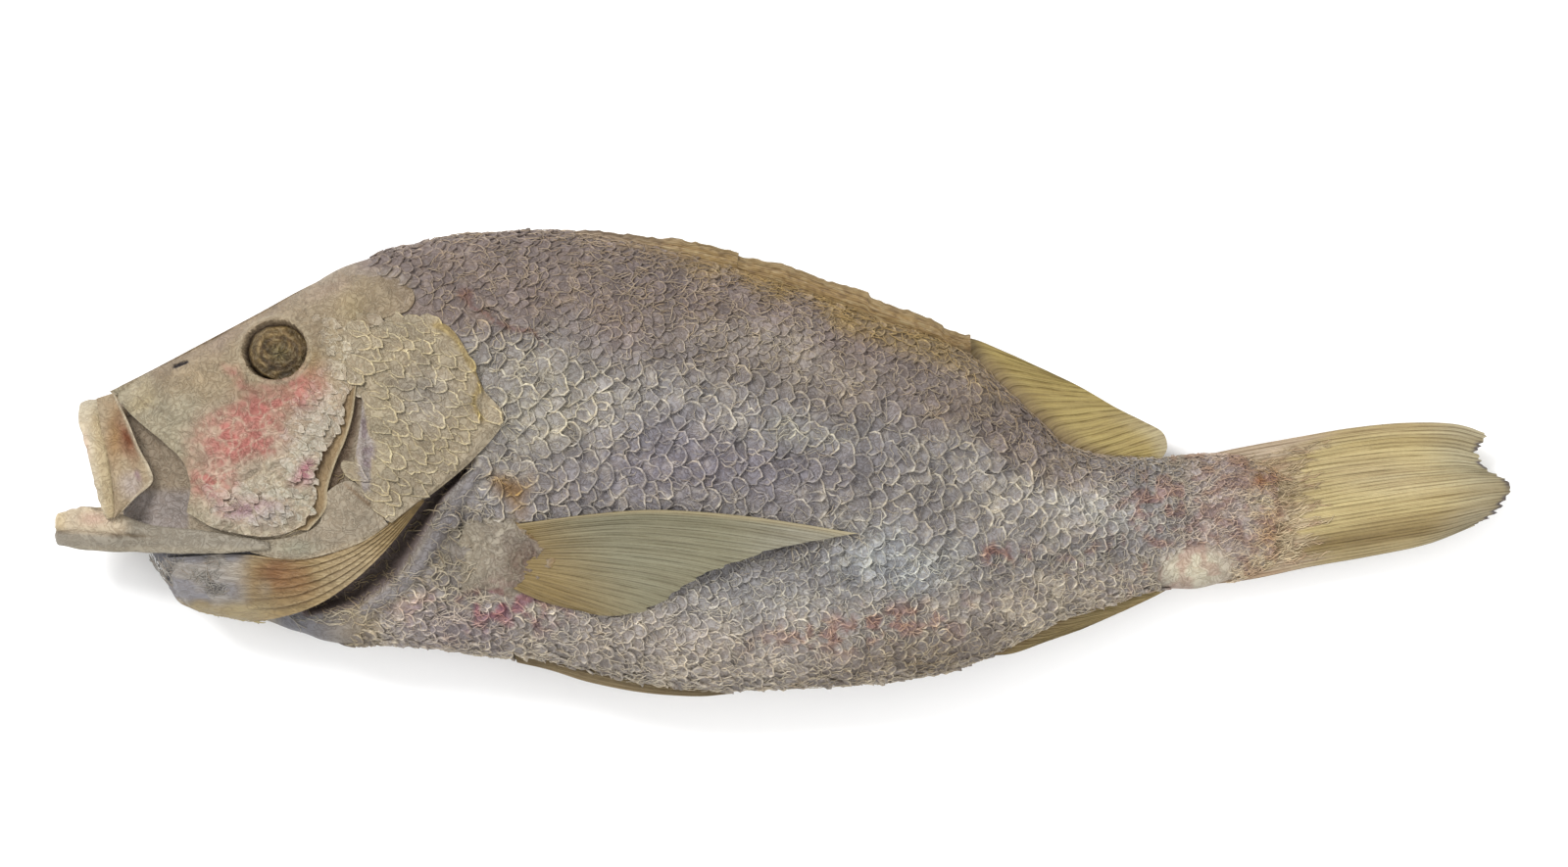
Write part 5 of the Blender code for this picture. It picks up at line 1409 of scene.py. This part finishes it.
spiny_middle = spiny_skin + (spiny_rest - spiny_skin) * smooth_step(0.5, 1.0, spiny_v) + 1.8 * smooth_step(0.25, 0.7, spiny_v) - 2.2
spiny_lines = (spiny_v * 5 + spiny_u * 4.2) % 1
spiny_middle = spiny_middle + 0.5 * spiny_lines * smooth_step(0.1, 0.3, spiny_v) + 0.3 * wander(spiny_u * 150, spiny_v * 26, 1.4, 116)
spiny_paint = np.zeros(spiny_x.shape + (3,)) + (0.37, 0.245, 0.095)
spiny_fibre = wander(spiny_u * 150 + spiny_v * 8, spiny_v * 26, 1.4, 116) + 0.5 * wander(spiny_u * 60, spiny_v * 60, 1.6, 117)
# darker at the low foot of each slanting step of the fold: painted shade
spiny_paint = tint(spiny_paint, (0.24, 0.16, 0.09), 0.7 * smooth_step(0.2, 0.0, spiny_lines))
spiny_paint = tint(spiny_paint, (0.17, 0.10, 0.04), 0.75 * smooth_step(0.1, 0.8, spiny_fibre))
spiny_paint = tint(spiny_paint, (0.50, 0.40, 0.22), 0.65 * smooth_step(-0.2, -0.9, spiny_fibre))
spiny_paint = tint(spiny_paint, (0.42, 0.32, 0.17), 0.6 * smooth_step(0.75, 1, spiny_v))
spiny_paint = tint(spiny_paint, flesh_tone(spiny_x, spiny_y), smooth_step(0.6, 0.3, spiny_v) + smooth_step(-20, -55, spiny_x) * 0.6)
fin("spiny_back_fold", spiny_grid, spiny_v, spiny_u, spiny_middle, 1.6, spiny_paint, WEB_FINISH, "fin_skin",
    "spiny_dorsal_fin")

BREAST_BASE = [(-80, -18), (-77.6, -26), (-78, -35)]
BREAST_TIP = [(21, -20), (12, -21.6), (3, -23), (-8, -26), (-21, -31), (-31, -37), (-40, -42), (-49, -43.4), (-58, -42)]
BREAST_TOP = [(-80, -18), (-68, -16.2), (-54, -14.4), (-36, -13.2), (-14, -14.6), (5, -17.2), (21, -20)]
BREAST_FOOT = [(-78, -35), (-68, -39.4), (-58, -42)]
breast_grid, breast_u, breast_v = patch(BREAST_BASE, BREAST_TIP, BREAST_TOP, BREAST_FOOT, rows=120, columns=110)
breast_x, breast_y = breast_grid[..., 0], breast_grid[..., 1]
breast_grid = breast_grid + smooth_step(0.95, 1, breast_v)[..., None] * np.stack([wander(breast_u * 60, breast_u * 0, 1.2, 120) * 1.2, 0 * breast_u], -1)
breast_paint = np.zeros(breast_x.shape + (3,)) + (0.228, 0.213, 0.132)
breast_paint = tint(breast_paint, (0.26, 0.18, 0.06), 0.95 * smooth_step(-42, -72, breast_x + 0.6 * (breast_y + 28)))
breast_paint = tint(breast_paint, (0.36, 0.34, 0.27), 0.7 * smooth_step(-20, 10, breast_x))
breast_paint = tint(breast_paint, (0.42, 0.34, 0.18), 0.6 * smooth_step(0.08, 0.0, breast_u))
BREAST_FINISH = ray_finish("breast_fin_web", 32, 0.4, 0.35, 0.24)
for side in ("left", "right"):
    left = side == "left"
    x, y = breast_grid[..., 0], breast_grid[..., 1]
    ridges = 0.28 * ray_ridges(breast_u, breast_v, 16, 121)
    if left:
        height = flank_height(x, y, True) + 1.6 + 0.9 * np.sin(math.pi * breast_u) * smooth_step(0, 0.4, breast_v) + ridges
        height = height + 0.5 * wander(breast_u * 20, breast_v * 20, 8, 122) - 2.6 * smooth_step(0.13, 0.0, breast_v)
    else:
        height = 0.75 + ridges
    fin(f"breast_web_{side}", breast_grid, breast_u, breast_v, height, 0.8 if left else 0.9, breast_paint, BREAST_FINISH,
        "fin_skin", f"pectoral_fin_{side}")

BELLY_FIN_INNER = [(-77, -54.5), (-64, -56.4), (-50, -59.4), (-40, -61.6), (-26, -63.6), (-14, -64)]
BELLY_FIN_OUTER = [(-76, -57.2), (-66, -59.6), (-55, -63), (-40, -65.9), (-25, -67), (-14, -66.2)]
belly_grid, belly_u, belly_v = patch(BELLY_FIN_INNER, BELLY_FIN_OUTER, rows=20, columns=120)
belly_x, belly_y = belly_grid[..., 0], belly_grid[..., 1]
belly_paint = tint(np.zeros(belly_x.shape + (3,)) + (0.42, 0.32, 0.17), (0.22, 0.15, 0.08), smooth_step(0.4, 0, belly_v))
for side, shift in (("left", 4.5), ("right", -4.5)):
    middle = value_at(LEFT_LINE, belly_x) * MIDDLE_SHARE + value_at(RIGHT_LINE, belly_x) * (1 - MIDDLE_SHARE)
    lean = shift * (1 - 0.7 * smooth_step(0.1, 1, belly_u)) * (1 - 0.45 * belly_v)
    height = middle + lean + 0.8 * wander(belly_u * 60, belly_v * 8, 9, 125) + 0.3 * ((belly_v * 4) % 1)
    fin(f"belly_web_{side}", belly_grid, belly_v, belly_u, height, 1.0, belly_paint,
        WEB_FINISH, "fin_skin", f"pelvic_fin_{side}")


# ---------------------------------------------------------------- breast fin roots
# The fleshy pad each breast fin grows from, dried into wrinkles over the start of the fin, with
# fine scales of its own; the skin of the shoulder runs onto it.

ROOT_FRONT = [(-88, -15.5), (-95, -20), (-98, -29), (-93, -39.5)]
ROOT_REAR = [(-74.5, -15.8), (-71.5, -19.2), (-66.5, -22), (-64, -26.5), (-66, -31.5), (-71.5, -34), (-75, -39.5)]
root_grid, root_u, root_v = patch(ROOT_FRONT, ROOT_REAR, rows=90, columns=80)
root_grid[..., 0] += smooth_step(0.8, 1, root_v) * (2.6 * wander(root_u * 30, root_u * 0, 3, 130)
                                                  + 1.2 * wander(root_u * 30, root_u * 0, 1.1, 131))
root_x, root_y = root_grid[..., 0], root_grid[..., 1]
root_edge = np.minimum(np.minimum(root_u, 1 - root_u) * 4, root_v * 3)
root_lift = -0.4 + 3.1 * smooth_step(0, 1, root_edge) * (0.75 + 0.25 * np.sin(3 * root_v)) - 0.5 * smooth_step(0.9, 1, root_v)
root_lift += 0.6 * wander(root_x, root_y * 0.6, 3.4, 132) + 0.35 * wander(root_x * 1.5, root_y, 1.5, 133)
root_paint = flesh_tone(root_x, root_y) * 0.4 + np.array((0.115, 0.095, 0.06))
root_paint = tint(root_paint, (0.33, 0.285, 0.21), 0.8 * spot(root_x, root_y, (-90, -24), (10, 13)))
root_net = dried_net(root_x * 1.3, root_y * 1.3)
root_lift += 0.35 * root_net
root_paint = tint(root_paint, (0.42, 0.37, 0.28), 0.45 * root_net)
brown = spot(root_x + 2 * wander(root_x, root_y, 3, 134), root_y, (-72, -27), (12, 12))
root_paint = tint(root_paint, (0.14, 0.085, 0.06), 0.85 * brown * (1 - 0.6 * root_net))
root_paint = tint(root_paint, (0.30, 0.19, 0.06), 0.8 * smooth_step(0.86, 0.98, root_v) * smooth_step(-0.5, 0.3, wander(root_x, root_y, 3, 135)))
root_paint = tint(root_paint, MAGENTA, 0.4 * spot(root_x, root_y, (-84, -38), (10, 4)))
for side in ("left", "right"):
    left = side == "left"
    plate(f"breast_fin_root_{side}", root_grid, left, root_lift if left else root_lift * 0.3, 1.0, root_paint,
          SKIN_FINISH, "skin", sharp=None)


# ---------------------------------------------------------------- loose fibres
# Threads of dried slime, torn skin and scale rims that lie curled over the fish, thickest on the
# belly, round the throat and gill slit, and where the flesh ends on the tail.

FIBRE_STATIONS = 6


def curled_fibre(name, seed):
    """One dried thread, one unit long, that lies in a wavering curve with both ends stuck down."""
    rng = np.random.default_rng(seed)
    run = np.linspace(-0.5, 0.5, FIBRE_STATIONS)
    sway = np.cumsum(rng.uniform(-0.14, 0.14, FIBRE_STATIONS))
    sway -= sway.mean()
    height = 0.35 * (1 - (2 * run) ** 4) - 0.25 + rng.uniform(-0.12, 0.12, FIBRE_STATIONS)
    half = 0.032 * (1 - 0.6 * np.abs(2 * run))
    points = []
    for k in range(FIBRE_STATIONS):
        points += [(run[k], sway[k] - half[k], height[k]), (run[k], sway[k] + half[k], height[k]),
                   (run[k], sway[k], height[k] + 0.22)]
    faces = []
    for k in range(FIBRE_STATIONS - 1):
        a, b = 3 * k, 3 * k + 3
        faces += [(a + i, a + (i + 1) % 3, b + (i + 1) % 3, b + i) for i in range(3)]
    last = 3 * (FIBRE_STATIONS - 1)
    faces += [(2, 1, 0), (last, last + 1, last + 2)]
    mesh = bpy.data.meshes.new(name)
    mesh.from_pydata([tuple(c * MM for c in p) for p in points], [], [f[::-1] for f in faces])
    mesh.attributes.new("rim", "FLOAT", "POINT").data.foreach_set("value", [1.0] * len(points))
    mesh.shade_smooth()
    return bpy.data.objects.new(name, mesh)


def fibre_tone(where, rim, lot):
    x, y = where[:, 0], where[:, 1]
    tone = flesh_tone(x, y)
    pale = tone * 1.25 + np.array((0.12, 0.10, 0.035))
    ochre = tone * 0.8 + np.array((0.13, 0.085, 0.02))
    near_back = smooth_step(10, 3, value_at(BACK_LINE, x) - y) * smooth_step(-70, -20, x)
    tone = tint(pale, ochre, np.maximum(near_back, smooth_step(0.8, 0.9, lot)))
    return tone * (0.75 + 0.4 * lot[:, None])


fibre_kinds = kinds_of("fibre_kinds", [curled_fibre(f"fibre_{k}", 70 + k) for k in range(7)])
FIBRE_FINISH = dried_finish("dried_fibre", 0.1, 0.8, 0.15, 0.1, 0.0)

for side, sign in (("left", 1), ("right", -1)):
    found, outwards, spans, turns = [], [], [], []
    rng = np.random.default_rng(300 + sign)
    for count, x_from, x_to, y_low, y_high, length, scatter in (
            (1950, -100, 118, -30, 70, 4.4, 1.1), (1350, -125, 112, -70, -26, 3.9, 1.0), (900, 112, 147, -40, 8, 3.6, 0.45),
            (420, -186, -150, -46, -27, 5.0, 0.9), (500, -140, -84, -46, 0, 5.5, 0.7), (420, -60, 70, 40, 70, 4.5, 0.5)):
        x = rng.uniform(x_from, x_to, 12 * count)
        angle = rng.uniform(-math.pi / 2, math.pi / 2, 12 * count) + (0 if sign > 0 else math.pi)
        points, outward = skin_and_outward(x, angle)
        inside = (points[:, 1] > y_low) & (points[:, 1] < y_high) & (outward[:, 2] * sign > 0.02) & (points[:, 2] > 1.6)
        inside &= spot(points[:, 0], points[:, 1], (-72, -27), (16, 11), 0, 0.01) == 0
        inside &= spot(points[:, 0], points[:, 1], (118, -31), (12, 8), 0, 0.01) == 0
        picked = np.flatnonzero(inside)[:count if sign > 0 else count // 2]
        found.append(points[picked])
        outwards.append(outward[picked])
        spans.append(length * rng.uniform(0.5, 1.2, len(picked)))
        turns.append(rng.normal(0, scatter, len(picked)))
    # the fringe where the flesh runs out over the roots of the tail rays
    on_root = np.flatnonzero(((root_fuzz > 0.15) & (tail_u > 0.07) & (tail_u < 0.94)).ravel())
    picked = rng.choice(on_root, 430 if sign > 0 else 180)
    fringe_z = tail_middle.ravel()[picked] + sign * (FIN / 2 - 0.65)
    found.append(np.stack([tail_x.ravel()[picked], tail_y.ravel()[picked], fringe_z], axis=1))
    outwards.append(np.tile((0.0, 0.0, float(sign)), (len(picked), 1)))
    spans.append(4.6 * rng.uniform(0.5, 1.2, len(picked)))
    turns.append(rng.normal(0, 0.22, len(picked)) + 0.13)
    points, outward = np.concatenate(found), np.concatenate(outwards)
    span, turn = np.concatenate(spans), np.concatenate(turns)
    rearward = np.stack([np.cos(turn), np.sin(turn), 0 * turn], axis=1)
    sizes = np.stack([span, span, 0.8 + 0 * span], axis=1)
    over_scales = 0.65 * (points[:, 0] > -100) + 0.15 + 1.2 * (points[:, 0] < -148)
    grow(f"loose_fibres_{side}", points + outward * over_scales[:, None], outward, rearward, sizes, fibre_kinds, 0.05, 0.2,
         51 + (sign > 0), FIBRE_FINISH, fibre_tone)


# ---------------------------------------------------------------- floor, light and camera
# A plain white floor and soft light from above, a little stronger from the upper left.

floor_mesh = bpy.data.meshes.new("floor")
floor_mesh.from_pydata([(-3, -3, -0.0004), (3, -3, -0.0004), (3, 3, -0.0004), (-3, 3, -0.0004)], [], [(0, 1, 2, 3)])
floor = bpy.data.objects.new("floor", floor_mesh)
bpy.context.scene.collection.objects.link(floor)
floor_finish = bpy.data.materials.new("floor_white")
floor_finish.use_nodes = True
floor_finish.node_tree.nodes["Principled BSDF"].inputs["Base Color"].default_value = (0.96, 0.96, 0.96, 1)
floor_finish.node_tree.nodes["Principled BSDF"].inputs["Roughness"].default_value = 0.9
floor_mesh.materials.append(floor_finish)

scene = bpy.context.scene
scene.view_settings.view_transform = "Standard"
world = bpy.data.worlds.new("studio")
world.use_nodes = True
world.node_tree.nodes["Background"].inputs["Color"].default_value = (1, 1, 1, 1)
world.node_tree.nodes["Background"].inputs["Strength"].default_value = 1.0
scene.world = world


def soft_light(name, place, aim, size, power):
    light = bpy.data.lights.new(name, "AREA")
    light.shape = "DISK"
    light.size = size
    light.energy = power
    obj = bpy.data.objects.new(name, light)
    away = np.array(aim) - np.array(place)
    obj.location = place
    obj.rotation_euler = Vector(away.tolist()).to_track_quat("-Z", "Y").to_euler()
    scene.collection.objects.link(obj)


soft_light("key", (-0.7, 0.75, 1.1), (0, 0, 0.02), 0.7, 21)
soft_light("fill", (0.9, -0.5, 1.2), (0, 0, 0.02), 1.2, 8)

LENS, SENSOR, VIEW_WIDTH, FOCUS_HEIGHT = 150.0, 36.0, 0.450, 0.022
camera_data = bpy.data.cameras.new("camera")
camera_data.lens = LENS
camera_data.sensor_width = SENSOR
camera = bpy.data.objects.new("camera", camera_data)
camera.location = (0.0004, 0.0084, FOCUS_HEIGHT + VIEW_WIDTH * LENS / SENSOR)
scene.collection.objects.link(camera)
scene.camera = camera

for kinds in (scale_kinds, fibre_kinds):
    for obj in list(kinds.objects):
        bpy.data.objects.remove(obj)
    bpy.data.collections.remove(kinds)
